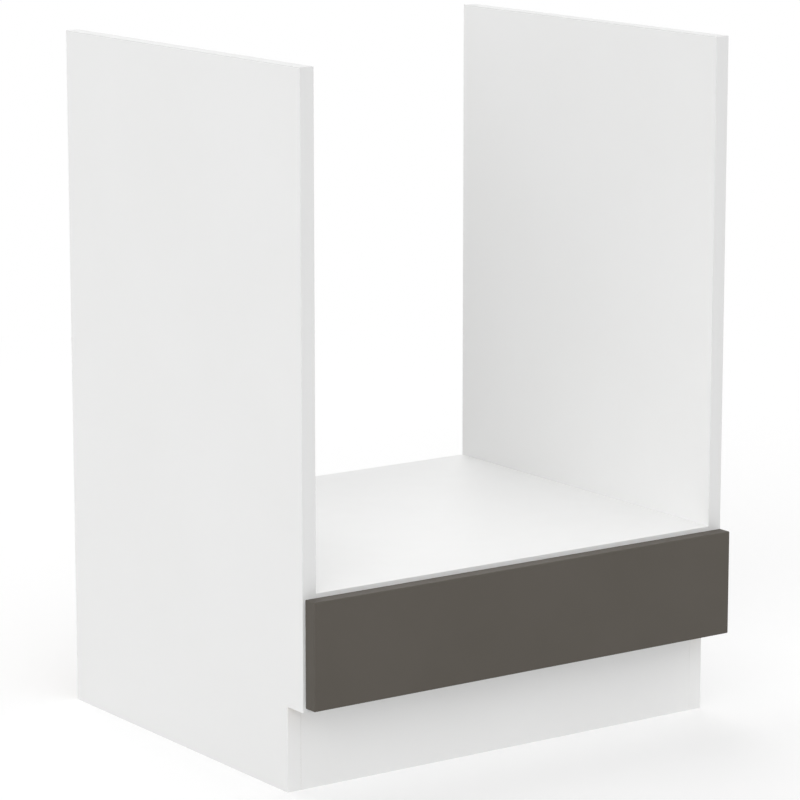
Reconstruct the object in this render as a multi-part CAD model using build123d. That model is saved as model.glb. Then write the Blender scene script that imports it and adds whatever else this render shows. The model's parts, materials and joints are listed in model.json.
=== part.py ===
from build123d import *
import os

# Oven base cabinet for a 600 mm appliance space: two full-height sides, a floor panel, an oven shelf and
# a set-back plinth, with one shallow drawer under the shelf on steel roller runners.
# Millimetres. +Z is up, the front faces -Y, and the origin is on the floor at the centre of the plan.
# Right-hand pieces are modelled and mirrored, because runners, sides and rollers come in handed pairs.

# Carcass
cabinet_width = 600.0
cabinet_height = 820.0
carcass_depth = 500.0
board = 18.0                # carcass board thickness
plinth_height = 100.0       # toe space height, which is also the floor panel's underside
plinth_setback = 32.0       # plinth face behind the carcass front
drawer_space = 99.0         # clear height between the floor panel and the oven shelf
edging = 0.8                # thickness of the strips on visible edges
edging_round = 0.5          # arris radius on those strips
edging_flat = 0.3           # least depth of a strip below its rounding

# Back of the drawer space
hardboard = 3.0
back_inset = 10.0           # back panel's rear face, in from the carcass's rear edges
groove_depth = 7.0
groove_play = 0.1           # on each face of a sheet in its groove
sheet_end_play = 0.5        # between a sheet's edge and the groove's bottom

# Cam joints and dowels
joint_fit = 0.05            # radial clearance of anything that fills a drilled hole
hole_end_play = 0.5         # a blind hole is this much deeper than what it holds
cam_inset = 60.0            # cam joint, in from the front and rear edges
dowel_pitch = 32.0          # from a cam joint to the dowel beside it
cam_reach = 34.0            # from the side panel's face to the cam's axis
cam_radius = 7.5
cam_cover = 4.5             # how far the cam's body stands above the bolt's axis
cam_wall_gap = 0.3
cam_cross_width = 1.6
cam_cross_reach = 7.0
cam_cross_depth = 2.2
bolt_screw_radius = 2.5
bolt_screw_length = 11.0
bolt_shaft_radius = 3.9
bolt_neck_radius = 2.0
bolt_head_radius = 3.2
bolt_head_length = 2.5
dowel_radius = 4.0
dowel_length = 35.0
dowel_in_side = 11.0
dowel_chamfer = 1.0
plinth_dowel_inset = 30.0   # from the plinth's top and bottom edges

# Plinth angles
angle_leg = 20.0
angle_width = 20.0
angle_sheet = 1.5
angle_bend = 1.0            # inner radius of the bend
angle_corner = 1.5          # corner radius at the ends of the legs
angle_hole_inset = 12.5     # from the corner to the screw
bracket_x = 150.0           # the two upper angles, from the middle

# Screws
screw_radius = 1.75
screw_tip = 2.5
pan_head_radius = 3.4
pan_crown_radius = 2.2      # flat top of a pan head
pan_head_height = 2.1
pan_rim_height = 1.1        # upright part of a pan head
cross_width = 0.9
cross_reach = 3.8           # a screw's cross, from tip to tip
cross_depth = 1.2
screw_bite = 12.8           # in the board, for the screws of angles, runners and drawer base
front_screw_bite = 14.0     # in the drawer front
box_screw_bite = 34.0       # in the end of a drawer board
box_screw_head_radius = 4.8
box_screw_head_length = 2.6
box_screw_shank_radius = 3.5
box_screw_thread_radius = 2.5
hex_key = 4.0
hex_depth = 2.4

# Drawer front
front_thickness = 18.0
front_round = 1.0
front_side_reveal = 2.0     # in from the cabinet's side
front_top_reveal = 4.5      # below the oven shelf's top
front_bottom_reveal = 5.5   # above the floor panel's underside
bumper_thickness = 2.0
bumper_radius = 4.0
bumper_rim = 0.6
bumper_margin = 2.5         # from the front's top and bottom edges

# Drawer box
drawer_board = 16.0
drawer_lift = 9.5           # side's lower edge above the floor panel
drawer_headroom = 17.5      # under the oven shelf
drawer_rear_room = 30.0     # least space behind the box
base_inset = 10.0           # base groove above the side's lower edge
box_screw_rise = 23.0       # a corner's lower screw, above the base groove
box_screw_drop = 14.0       # its upper screw, below the box's top
front_screw_x = 180.0
front_screw_inset = 18.0    # from the box front's top and base
base_screw_x = 180.0        # the two outer ones, from the middle

# Roller runners
runner_step = 50.0          # runners are made in lengths of this step
runner_space = 12.5         # between the drawer box and the side panel
runner_sheet = 1.2
runner_bend = 0.5           # inner radius of the bends
runner_setback = 2.0        # cabinet channel behind the carcass front
runner_clear = 0.6          # between the two halves' upright faces
drawer_flange = 13.0        # under the drawer side
running_gap = 0.2           # between a roller and the flange that it runs on
hold_down_gap = 1.0         # between the running flange and the channel's upper flange
roller_radius = 10.0
roller_side_gap = 1.8       # room beside a roller for its pin's shoulder or head
roller_bore_fit = 0.05      # radial
roller_hub_radius = 4.8
roller_rim = 2.2            # depth of the tread ring
roller_recess = 1.6
roller_round = 0.4
roller_end_play = 0.15
pin_radius = 2.5
pin_tail_radius = 2.0
pin_shoulder_radius = 3.6
pin_head_radius = 4.0
pin_head_length = 1.0
front_roller_inset = 14.0   # from the channel's front end to the roller's axis
rear_roller_inset = 11.0    # from the drawer half's rear end to the roller's axis
drawer_runner_setback = 1.0 # drawer half behind the drawer front
flange_relief = 2.0         # around the front roller, where the channel's track is cut away
flange_end_gap = 3.0        # between the running flange's end and the rear roller
extension_loss = 110.0      # the drawer opens by the runner's length less this
stop_height = 4.0           # lug on the track that ends the travel
stop_length = 1.2
stop_width = 5.0
stop_gap = 0.3
lift_out_lead = 2.0         # the hold-down flange starts this far in front of the axis at full travel
runner_nose = 4.0           # corner radius at the channel's front end
runner_hole_pitch = 32.0
first_hole = 37.0           # from the front
last_hole_margin = 20.0     # least distance from the last hole to the channel's rear end
spare_hole_radius = 2.5
slot_width = 4.2            # oblong holes, in which a runner is shifted before its screws are tightened
channel_slot_length = 8.0
flange_slot_length = 7.0
flange_slot_offset = 20.0   # from a screw of the drawer half to the oblong hole beside it

# Modelling
cut_over = 1.0              # how far a cutting solid stands out of the face it enters
near = 0.01                 # tolerance for picking edges by their place

# Planes and lines that follow from the sizes above
half_width = cabinet_width / 2
inner_x = half_width - board
overall_depth = carcass_depth + bumper_thickness + front_thickness
rear_y = overall_depth / 2
carcass_y = rear_y - carcass_depth
front_back_y = carcass_y - bumper_thickness
front_face_y = front_back_y - front_thickness
plinth_y = carcass_y + plinth_setback
floor_top = plinth_height + board
shelf_under = floor_top + drawer_space
shelf_top = shelf_under + board
back_rear_y = rear_y - back_inset
strip_round = min(edging_round, edging - edging_flat)

runner_room = back_rear_y - hardboard - drawer_rear_room - carcass_y
runner_length = runner_step * int(runner_room // runner_step)
box_x = inner_x - runner_space
box_inner_x = box_x - drawer_board
box_z = floor_top + drawer_lift
box_top = shelf_under - drawer_headroom
box_rear_y = front_back_y + runner_length
base_z = box_z + base_inset

channel_tip_x = box_x + runner_sheet + runner_clear
channel_web_x = inner_x - runner_sheet
channel_y = carcass_y + runner_setback
channel_rear_y = channel_y + runner_length
channel_z = box_z - runner_sheet
track_z = channel_z + runner_sheet
roller_z = track_z + running_gap + roller_radius
flange_z = roller_z + roller_radius + running_gap
hold_down_z = flange_z + runner_sheet + hold_down_gap
channel_top_z = hold_down_z + runner_sheet
drawer_web_x = box_x + runner_sheet
roller_x = (drawer_web_x + channel_web_x) / 2
roller_width = channel_web_x - drawer_web_x - 2 * roller_side_gap
front_roller_y = channel_y + front_roller_inset
drawer_runner_y = front_back_y + drawer_runner_setback
drawer_runner_rear_y = drawer_runner_y + runner_length
rear_roller_y = drawer_runner_rear_y - rear_roller_inset
drawer_travel = runner_length - extension_loss
open_roller_y = rear_roller_y - drawer_travel
channel_hole_z = (channel_z + channel_top_z) / 2


def block(low, high):
    """A box between two opposite corners."""
    size = [b - a for a, b in zip(low, high)]
    middle = [(a + b) / 2 for a, b in zip(low, high)]
    return Pos(*middle) * Box(*size)


def turned(*steps):
    """A turned piece along +X from the origin; each step is a length and its radii at start and end."""
    outline = [(0, 0)]
    x = 0
    for length, radius_start, radius_end in steps:
        outline.append((x, radius_start))
        x += length
        outline.append((x, radius_end))
    outline.append((x, 0))
    corners = [p for i, p in enumerate(outline) if i == 0 or p != outline[i - 1]]
    return revolve(make_face(Polyline(*corners, close=True)), Axis.X)


def aim(piece, point, direction):
    """Moves a piece made along +X from the origin, so that it starts at point and runs along direction."""
    along = Vector(*direction)
    side = Vector(0, 1, 0) if abs(along.Y) < 0.5 else Vector(0, 0, 1)
    return Plane(origin=point, x_dir=along, z_dir=side) * piece


def drill(radius, depth, mouth, direction):
    """A plain hole to cut: it starts a little outside the mouth and runs depth into the board."""
    start = Vector(*mouth) - Vector(*direction) * cut_over
    return aim(turned((depth + cut_over, radius, radius)), start, direction)


def slot(length, depth, mouth, direction, along):
    """An oblong hole to cut: its middle at mouth, its long side along, and depth into the sheet."""
    start = Vector(*mouth) - Vector(*direction) * cut_over
    section = Plane(origin=start, x_dir=along, z_dir=direction) * SlotOverall(length, slot_width)
    return extrude(section, amount=depth + cut_over)


def folded(points, sheet, bend, length):
    """Folded sheet: the middle line of its section in X and Z, filleted and run along +Y from y = 0."""
    line = FilletPolyline(*points, radius=bend + sheet / 2)
    return extrude(Plane.XZ * trace(line, sheet), amount=-length)


def both_sides(piece):
    """A right-hand piece and its mirror image, as two solids."""
    return [piece, mirror(piece, about=Plane.YZ)]


def write(name, *pieces):
    """Writes one node, as a single solid or as a group of separate ones."""
    solids = [solid for piece in pieces for solid in piece.solids()]
    node = solids[0] if len(solids) == 1 else Compound(children=solids)
    node.label = name
    export_step(node, f"parts/{name}.step")


# Places of the fasteners

def board_end_points(inset):
    """Points on the right side panel, at the ends of the floor panel and the oven shelf."""
    heights = (plinth_height + board / 2, shelf_under + board / 2)
    depths = (carcass_y + inset, rear_y - inset)
    return [(inner_x, y, z) for z in heights for y in depths]


def cam_points():
    """Where the cam joints' bolts meet the right side panel."""
    return board_end_points(cam_inset)


def board_dowel_points():
    """Where the floor panel's and the shelf's dowels meet the right side panel."""
    return board_end_points(cam_inset + dowel_pitch)


def plinth_dowel_points():
    """Where the plinth's dowels meet the right side panel."""
    heights = (plinth_dowel_inset, plinth_height - plinth_dowel_inset)
    return [(inner_x, plinth_y + board / 2, z) for z in heights]


def channel_holes(steps):
    """Holes in the channel's web, at whole numbers of pitches behind the first one."""
    first = carcass_y + first_hole
    return [(channel_web_x, first + runner_hole_pitch * step, channel_hole_z) for step in steps]


def last_channel_step():
    """The last hole that the channel has room for, as a number of pitches."""
    room = channel_rear_y - last_hole_margin - carcass_y - first_hole
    return int(room // runner_hole_pitch)


def channel_screw_points():
    """The cabinet runner's three fixing screws, on the channel's inner face."""
    last = last_channel_step()
    return channel_holes((0, last // 2, last))


def channel_slot_points():
    """Upright oblong holes, one hole from the spare ones and one from the middle screw on both sides."""
    last = last_channel_step()
    return channel_holes((2, last // 2 - 1, last // 2 + 1, last - 2))


def drawer_flange_screw_points():
    """The drawer runner's three screws, on the underside of the flange below the drawer side."""
    x = drawer_web_x - drawer_flange / 2 - runner_sheet / 2
    ends = (drawer_runner_y + first_hole, drawer_runner_rear_y - first_hole)
    depths = (ends[0], (ends[0] + ends[1]) / 2, ends[1])
    return [(x, y, box_z - runner_sheet) for y in depths]


def drawer_flange_slot_points():
    """Oblong holes beside the drawer runner's screws, towards the middle and behind the middle one."""
    front, middle, rear = drawer_flange_screw_points()
    shifts = ((front, 1), (middle, 1), (rear, -1))
    return [(x, y + side * flange_slot_offset, z) for (x, y, z), side in shifts]


def box_screw_points():
    """The drawer box's corner screws, on the outer face of the right side."""
    depths = (front_back_y + drawer_board / 2, box_rear_y - drawer_board / 2)
    heights = (base_z + box_screw_rise, box_top - box_screw_drop)
    return [(box_x, y, z) for y in depths for z in heights]


def front_screw_points():
    """The screws that hold the drawer front, on the inner face of the box front."""
    inner_face = front_back_y + drawer_board
    heights = (base_z + front_screw_inset, box_top - front_screw_inset)
    return [(x, inner_face, z) for x in (-front_screw_x, front_screw_x) for z in heights]


def base_screw_points():
    """The screws up through the drawer base into the back's lower edge."""
    y = box_rear_y - drawer_board / 2
    return [(x, y, base_z + groove_play) for x in (-base_screw_x, 0, base_screw_x)]


def angle_corners():
    """Each plinth angle's inner corner and the directions of its two legs."""
    rear_face = plinth_y + board
    under = (0, 0, -1)
    backwards = (0, 1, 0)
    upper = [((x, rear_face, plinth_height), under, backwards) for x in (-bracket_x, bracket_x)]
    ends = [
        ((side * inner_x, rear_face, plinth_height / 2), (-side, 0, 0), backwards)
        for side in (-1, 1)
    ]
    return upper + ends


# Fasteners

def cross_recess(reach, width, depth):
    """A cross for a driver, to cut from a head's top at x = 0 along +X."""
    arm = block((-cut_over, -reach / 2, -width / 2), (depth, reach / 2, width / 2))
    return arm + Rot(X=90) * arm


def pan_screw(length):
    """Pan-head screw along +X, its head's seat at x = 0."""
    body = turned(
        (pan_head_height - pan_rim_height, pan_crown_radius, pan_head_radius),
        (pan_rim_height, pan_head_radius, pan_head_radius),
        (length - screw_tip, screw_radius, screw_radius),
        (screw_tip, screw_radius, 0),
    )
    return Pos(-pan_head_height, 0, 0) * (body - cross_recess(cross_reach, cross_width, cross_depth))


def flat_screw():
    """Screw along +X whose flat head fills the countersink of the channel's sheet from x = 0."""
    body = turned(
        (runner_sheet, screw_radius + runner_sheet, screw_radius),
        (screw_bite - screw_tip, screw_radius, screw_radius),
        (screw_tip, screw_radius, 0),
    )
    return body - cross_recess(cross_reach, cross_width, cross_depth)


def box_screw():
    """Stepped corner screw with a hexagon socket, along +X, its head's top at x = 0."""
    body = turned(
        (box_screw_head_length, box_screw_head_radius, box_screw_shank_radius),
        (drawer_board - box_screw_head_length, box_screw_shank_radius, box_screw_shank_radius),
        (box_screw_bite - screw_tip, box_screw_thread_radius, box_screw_thread_radius),
        (screw_tip, box_screw_thread_radius, 0),
    )
    socket = extrude(Plane.YZ * RegularPolygon(hex_key / 2, 6, major_radius=False), amount=hex_depth)
    return body - socket


def cam_bolt():
    """Cam bolt along +X: its head in the cam, its neck and shaft in the board, its screw in the side."""
    head_start = -cam_reach - bolt_head_length / 2
    neck = cam_radius - bolt_head_length / 2
    shaft = cam_reach - cam_radius
    body = turned(
        (bolt_head_length, bolt_head_radius, bolt_head_radius),
        (neck, bolt_neck_radius, bolt_neck_radius),
        (shaft, bolt_shaft_radius, bolt_shaft_radius),
        (bolt_screw_length - screw_tip, bolt_screw_radius, bolt_screw_radius),
        (screw_tip, bolt_screw_radius, bolt_screw_radius - screw_tip / 2),
    )
    return Pos(head_start, 0, 0) * body


def cam_lock():
    """Cam on a vertical axis with the bolt's axis at z = 0 and along +X, open for its head and neck."""
    height = board / 2 + cam_cover
    body = Pos(0, 0, -board / 2 + height / 2) * Cylinder(cam_radius, height)
    rims = body.edges().filter_by(GeomType.CIRCLE)
    body = chamfer([e for e in rims if e.center().Z < -board / 2 + near], cam_wall_gap)
    head_room = bolt_head_length + 2 * cam_wall_gap
    pocket_radius = bolt_head_radius + cam_wall_gap
    slot_radius = bolt_neck_radius + cam_wall_gap
    pocket = turned((head_room, pocket_radius, pocket_radius))
    slot = turned((cam_radius + cut_over, slot_radius, slot_radius))
    recess = cross_recess(cam_cross_reach, cam_cross_width, cam_cross_depth)
    cross = Pos(0, 0, -board / 2) * (Rot(Y=-90) * recess)
    return body - Pos(-head_room / 2, 0, 0) * pocket - slot - cross


def wood_dowel():
    """Dowel along +X, from x = 0."""
    return turned(
        (dowel_chamfer, dowel_radius - dowel_chamfer, dowel_radius),
        (dowel_length - 2 * dowel_chamfer, dowel_radius, dowel_radius),
        (dowel_chamfer, dowel_radius, dowel_radius - dowel_chamfer),
    )


# Carcass boards, with what is drilled and grooved in them

def screw_hole(mouth, direction, bite=screw_bite):
    """Pilot hole for a screw that bites this deep into a board."""
    return drill(screw_radius + joint_fit, bite + hole_end_play, mouth, direction)


def back_groove_y():
    """Front and rear of the groove that holds the back panel."""
    return back_rear_y - hardboard - groove_play, back_rear_y + groove_play


def side_panel():
    """Right side panel: full height, notched for the toe space, with its inner face drilled and grooved."""
    front = carcass_y + edging
    notch = plinth_y + edging
    top = cabinet_height - edging
    outline = Polyline(
        (front, plinth_height), (front, top), (rear_y, top), (rear_y, 0), (notch, 0),
        (notch, plinth_height), close=True,
    )
    panel = Pos(inner_x, 0, 0) * extrude(Plane.YZ * make_face(outline), amount=board)
    outwards = (1, 0, 0)
    for point in cam_points():
        panel -= drill(bolt_screw_radius + joint_fit, bolt_screw_length + hole_end_play, point, outwards)
    for point in board_dowel_points() + plinth_dowel_points():
        panel -= drill(dowel_radius + joint_fit, dowel_in_side + hole_end_play, point, outwards)
    for _, y, z in channel_screw_points():
        panel -= screw_hole((inner_x, y, z), outwards)
    for corner, leg, _ in angle_corners():
        if leg[0] < 0:
            panel -= screw_hole(Vector(*corner) + Vector(0, angle_hole_inset, 0), outwards)
    groove_front, groove_rear = back_groove_y()
    low = (inner_x - cut_over, groove_front, floor_top - groove_depth)
    high = (inner_x + groove_depth, groove_rear, shelf_under + groove_depth)
    return panel - block(low, high)


def carcass_shelf(underside, groove_low, groove_high):
    """A board between the sides, bored for its cams, bolts and dowels, with a groove for the back panel."""
    panel = block(
        (-inner_x, carcass_y + edging, underside),
        (inner_x, rear_y, underside + board),
    )
    inwards = (-1, 0, 0)
    cuts = []
    middle = underside + board / 2
    for _, y, z in cam_points():
        if abs(z - middle) < near:
            cuts.append(drill(bolt_shaft_radius + joint_fit, cam_reach, (inner_x, y, z), inwards))
            cam_centre = (inner_x - cam_reach, y, underside)
            cam_height = board / 2 + cam_cover + hole_end_play
            cuts.append(drill(cam_radius + joint_fit, cam_height, cam_centre, (0, 0, 1)))
    for point in board_dowel_points():
        if abs(point[2] - middle) < near:
            depth = dowel_length - dowel_in_side + hole_end_play
            cuts.append(drill(dowel_radius + joint_fit, depth, point, inwards))
    for cut in cuts:
        for piece in both_sides(cut):
            panel -= piece
    groove_front, groove_rear = back_groove_y()
    return panel - block((-inner_x - cut_over, groove_front, groove_low),
                         (inner_x + cut_over, groove_rear, groove_high))


def bottom_panel():
    """Floor panel, also drilled underneath for the plinth angles."""
    panel = carcass_shelf(plinth_height, floor_top - groove_depth, floor_top + cut_over)
    for corner, leg, _ in angle_corners():
        if leg[2] < 0:
            panel -= screw_hole(Vector(*corner) + Vector(0, angle_hole_inset, 0), (0, 0, 1))
    return panel


def oven_shelf():
    """Shelf that carries the oven, with the back panel's groove in its underside."""
    return carcass_shelf(shelf_under, shelf_under - cut_over, shelf_under + groove_depth)


def plinth_board():
    """Plinth between the sides, drilled for its dowels and angles."""
    plinth = block((-inner_x, plinth_y, 0), (inner_x, plinth_y + board, plinth_height))
    for point in plinth_dowel_points():
        depth = dowel_length - dowel_in_side + hole_end_play
        for hole in both_sides(drill(dowel_radius + joint_fit, depth, point, (-1, 0, 0))):
            plinth -= hole
    for corner, leg, _ in angle_corners():
        plinth -= screw_hole(Vector(*corner) + Vector(*leg) * angle_hole_inset, (0, -1, 0))
    return plinth


def back_panel():
    """Hardboard behind the drawer, held in grooves on all four sides."""
    reach = groove_depth - sheet_end_play
    low = (-inner_x - reach, back_rear_y - hardboard, floor_top - reach)
    return block(low, (inner_x + reach, back_rear_y, shelf_under + reach))


# Edge strips

def front_strip(low_x, high_x, low_z, high_z, front_y, axis):
    """A strip on a board's front edge, its visible face at front_y, with that face's long arrises eased."""
    strip = block((low_x, front_y, low_z), (high_x, front_y + edging, high_z))
    arrises = [e for e in strip.edges().filter_by(axis) if e.center().Y < front_y + near]
    return fillet(arrises, strip_round)


def side_strips():
    """Right side panel's strips: front edge, toe notch and top edge."""
    top = cabinet_height - edging
    front = front_strip(inner_x, half_width, plinth_height, top, carcass_y, Axis.Z)
    toe = front_strip(inner_x, half_width, 0, plinth_height, plinth_y, Axis.Z)
    cap = block((inner_x, carcass_y, top), (half_width, rear_y, cabinet_height))
    upper = [e for e in cap.edges() if e.center().Z > cabinet_height - near]
    arrises = [e for e in upper if e.center().Y < rear_y - near]
    return [front, toe, fillet(arrises, strip_round)]


def shelf_strip(underside):
    """Strip on the front edge of a board between the sides."""
    return front_strip(-inner_x, inner_x, underside, underside + board, carcass_y, Axis.X)


# Plinth angles

def plinth_angle():
    """Steel angle with its inner corner at the origin, one leg along +X and one along +Y, centred on z."""
    middle = angle_sheet / 2
    line = FilletPolyline((angle_leg, middle), (middle, middle), (middle, angle_leg),
                          radius=angle_bend + angle_sheet / 2)
    plate = Pos(0, 0, -angle_width / 2) * extrude(trace(line, angle_sheet), amount=angle_width)
    hole = screw_radius + joint_fit
    plate -= drill(hole, angle_sheet + cut_over, (angle_hole_inset, 0, 0), (0, 1, 0))
    plate -= drill(hole, angle_sheet + cut_over, (0, angle_hole_inset, 0), (1, 0, 0))
    leg_ends = (plate.faces().sort_by(Axis.X)[-1], plate.faces().sort_by(Axis.Y)[-1])
    corners = [e for end in leg_ends for e in end.edges() if abs(e.length - angle_sheet) < near]
    return fillet(corners, angle_corner)


def plinth_angles():
    """The four angles, and their eight screws."""
    angles, screws = [], []
    for corner, leg, other in angle_corners():
        place = Plane(origin=corner, x_dir=leg, z_dir=Vector(*leg).cross(Vector(*other)))
        angles.append(place * plinth_angle())
        for along, into in ((leg, other), (other, leg)):
            head = Vector(*corner) + Vector(*along) * angle_hole_inset + Vector(*into) * angle_sheet
            screws.append(aim(pan_screw(angle_sheet + screw_bite), head, -Vector(*into)))
    return angles, screws


# Roller runners

def nose_corner(edge, inwards):
    """What rounding takes off a corner of the channel's front end; edge is its height there."""
    centre_z = edge + inwards * runner_nose
    low_z, high_z = sorted((edge - inwards * cut_over, centre_z))
    centre_y = channel_y + runner_nose
    corner = block((channel_web_x - cut_over, channel_y - cut_over, low_z),
                   (inner_x + cut_over, centre_y, high_z))
    mouth = (channel_web_x - cut_over, centre_y, centre_z)
    return corner - drill(runner_nose, runner_sheet + 3 * cut_over, mouth, (1, 0, 0))


def cabinet_runner():
    """Right cabinet half: a channel open towards the drawer, cut away at its front for the roller."""
    low = channel_z + runner_sheet / 2
    high = channel_top_z - runner_sheet / 2
    web = inner_x - runner_sheet / 2
    points = [(channel_tip_x, low), (web, low), (web, high), (channel_tip_x, high)]
    channel = Pos(0, channel_y, 0) * folded(points, runner_sheet, runner_bend, runner_length)
    hold_down_y = open_roller_y - lift_out_lead
    track_y = front_roller_y + roller_radius + flange_relief
    front = channel_y - cut_over
    tip = channel_tip_x - cut_over
    channel -= block((tip, front, track_z), (channel_web_x, hold_down_y, channel_top_z + cut_over))
    channel -= block((tip, front, channel_z - cut_over), (channel_web_x, track_y, hold_down_z))
    for edge, inwards in ((channel_z, 1), (channel_top_z, -1)):
        channel -= nose_corner(edge, inwards)
    bite = stop_height - running_gap
    reach = (bite * (2 * roller_radius - bite)) ** 0.5
    lug_rear = open_roller_y - reach - stop_gap
    channel += block((channel_tip_x, lug_rear - stop_length, track_z),
                     (channel_tip_x + stop_width, lug_rear, track_z + stop_height))
    hole = screw_radius + joint_fit
    mouth = hole + runner_sheet
    seat = turned((cut_over, mouth, mouth), (runner_sheet, mouth, hole), (cut_over, hole, hole))
    for point in channel_screw_points():
        channel -= aim(Pos(-cut_over, 0, 0) * seat, point, (1, 0, 0))
    for spare in channel_holes((1, last_channel_step() - 1)):
        channel -= drill(spare_hole_radius, runner_sheet + cut_over, spare, (1, 0, 0))
    for point in channel_slot_points():
        channel -= slot(channel_slot_length, runner_sheet + cut_over, point, (1, 0, 0), (0, 0, 1))
    pin = (channel_web_x, front_roller_y, roller_z)
    return channel - drill(pin_tail_radius + joint_fit, runner_sheet + cut_over, pin, (1, 0, 0))


def drawer_runner():
    """Right drawer half: it wraps under the drawer side and carries the running flange on top."""
    web = box_x + runner_sheet / 2
    low = box_z - runner_sheet / 2
    high = flange_z + runner_sheet / 2
    tip = channel_web_x - 2 * runner_clear
    points = [(drawer_web_x - drawer_flange, low), (web, low), (web, high), (tip, high)]
    rail = Pos(0, drawer_runner_y, 0) * folded(points, runner_sheet, runner_bend, runner_length)
    flange_end = rear_roller_y - roller_radius - flange_end_gap
    rail -= block((drawer_web_x + runner_bend, flange_end, flange_z - cut_over),
                  (tip + cut_over, drawer_runner_rear_y + cut_over, hold_down_z))
    for point in drawer_flange_screw_points():
        rail -= drill(screw_radius + joint_fit, runner_sheet + cut_over, point, (0, 0, 1))
    for point in drawer_flange_slot_points():
        rail -= slot(flange_slot_length, runner_sheet + cut_over, point, (0, 0, 1), (0, 1, 0))
    pin = (box_x, rear_roller_y, roller_z)
    return rail - drill(pin_tail_radius + joint_fit, runner_sheet + cut_over, pin, (1, 0, 0))


def roller():
    """Nylon roller on the X axis, centred on the origin, with a hub, a thin web and a tread ring."""
    bore = pin_radius + roller_bore_fit
    ring = Rot(Y=90) * (Cylinder(roller_radius, roller_width) - Cylinder(bore, roller_width + cut_over))
    circles = ring.edges().filter_by(GeomType.CIRCLE)
    ring = fillet([e for e in circles if abs(e.radius - roller_radius) < near], roller_round)
    hub = Cylinder(roller_hub_radius, roller_recess)
    recess = Rot(Y=90) * (Cylinder(roller_radius - roller_rim, roller_recess) - hub)
    for side in (-1, 1):
        ring -= Pos(side * (roller_width - roller_recess) / 2, 0, 0) * recess
    return ring


def roller_pin():
    """Stepped pin along +X: its tail through the sheet from x = 0, then shoulder, journal and head."""
    return turned(
        (runner_sheet, pin_tail_radius, pin_tail_radius),
        (roller_side_gap - roller_end_play, pin_shoulder_radius, pin_shoulder_radius),
        (roller_width + 2 * roller_end_play, pin_radius, pin_radius),
        (pin_head_length, pin_head_radius, pin_head_radius),
    )


# Drawer

def drawer_front():
    """The drawer's overlay front, with eased arrises and pilot holes for its four screws."""
    low = (front_side_reveal - half_width, front_face_y, plinth_height + front_bottom_reveal)
    high = (half_width - front_side_reveal, front_back_y, shelf_top - front_top_reveal)
    panel = fillet(block(low, high).edges(), front_round)
    for x, _, z in front_screw_points():
        panel -= screw_hole((x, front_back_y, z), (0, -1, 0), front_screw_bite)
    return panel


def base_groove(low_x, high_x, low_y, high_y):
    """The groove in the drawer's boards that holds its base."""
    return block((low_x, low_y, base_z), (high_x, high_y, base_z + hardboard + 2 * groove_play))


def drawer_side():
    """Right drawer side, grooved for the base, its lower outer arris eased for the runner's bend."""
    top = box_top - edging
    panel = block((box_inner_x, front_back_y, box_z), (box_x, box_rear_y, top))
    arris = [
        e for e in panel.edges().filter_by(Axis.Y)
        if e.center().X > box_x - near and e.center().Z < box_z + near
    ]
    panel = fillet(arris, 2 * runner_bend)
    panel -= base_groove(box_inner_x - cut_over, box_inner_x + groove_depth,
                         front_back_y - cut_over, box_rear_y + cut_over)
    head = box_screw_head_radius + joint_fit
    shank = box_screw_shank_radius + joint_fit
    for point in box_screw_points():
        seat = turned((cut_over, head, head), (box_screw_head_length, head, shank),
                      (drawer_board, shank, shank))
        panel -= aim(Pos(-cut_over, 0, 0) * seat, point, (-1, 0, 0))
    for x, y, _ in drawer_flange_screw_points():
        panel -= screw_hole((x, y, box_z), (0, 0, 1))
    return panel


def end_grain_holes(panel, low_y, high_y):
    """Cuts the corner screws' holes into both ends of a board of the box."""
    depth = box_screw_bite + hole_end_play
    for _, y, z in box_screw_points():
        if low_y < y < high_y:
            hole = drill(box_screw_thread_radius + joint_fit, depth, (box_inner_x, y, z), (-1, 0, 0))
            for piece in both_sides(hole):
                panel -= piece
    return panel


def drawer_box_front():
    """Board behind the drawer front, grooved for the base."""
    rear = front_back_y + drawer_board
    panel = block((-box_inner_x, front_back_y, box_z), (box_inner_x, rear, box_top - edging))
    panel -= base_groove(-box_inner_x - cut_over, box_inner_x + cut_over,
                         rear - groove_depth, rear + cut_over)
    for point in front_screw_points():
        panel -= drill(screw_radius + joint_fit, drawer_board + cut_over, point, (0, -1, 0))
    return end_grain_holes(panel, front_back_y, rear)


def drawer_box_back():
    """Back of the box, which stands on the base."""
    base_top = base_z + groove_play + hardboard
    front = box_rear_y - drawer_board
    panel = block((-box_inner_x, front, base_top), (box_inner_x, box_rear_y, box_top - edging))
    for x, y, _ in base_screw_points():
        panel -= screw_hole((x, y, base_top), (0, 0, 1))
    return end_grain_holes(panel, front, box_rear_y)


def drawer_base():
    """Hardboard base, in the grooves of the sides and the box front, under the back."""
    reach = groove_depth - sheet_end_play
    low = (-box_inner_x - reach, front_back_y + drawer_board - reach, base_z + groove_play)
    sheet = block(low, (box_inner_x + reach, box_rear_y, base_z + groove_play + hardboard))
    for point in base_screw_points():
        sheet -= drill(screw_radius + joint_fit, hardboard + cut_over, point, (0, 0, 1))
    return sheet


def drawer_strips():
    """Strips on the top edges of the box's four boards."""
    low = box_top - edging
    rear = front_back_y + drawer_board
    front = block((-box_inner_x, front_back_y, low), (box_inner_x, rear, box_top))
    back = block((-box_inner_x, box_rear_y - drawer_board, low), (box_inner_x, box_rear_y, box_top))
    side = block((box_inner_x, front_back_y, low), (box_x, box_rear_y, box_top))
    strips = [(front, Axis.X), (back, Axis.X)] + [(piece, Axis.Y) for piece in both_sides(side)]
    eased = []
    for strip, axis in strips:
        upper = [e for e in strip.edges().filter_by(axis) if e.center().Z > box_top - near]
        eased.append(fillet(upper, strip_round))
    return eased


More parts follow.
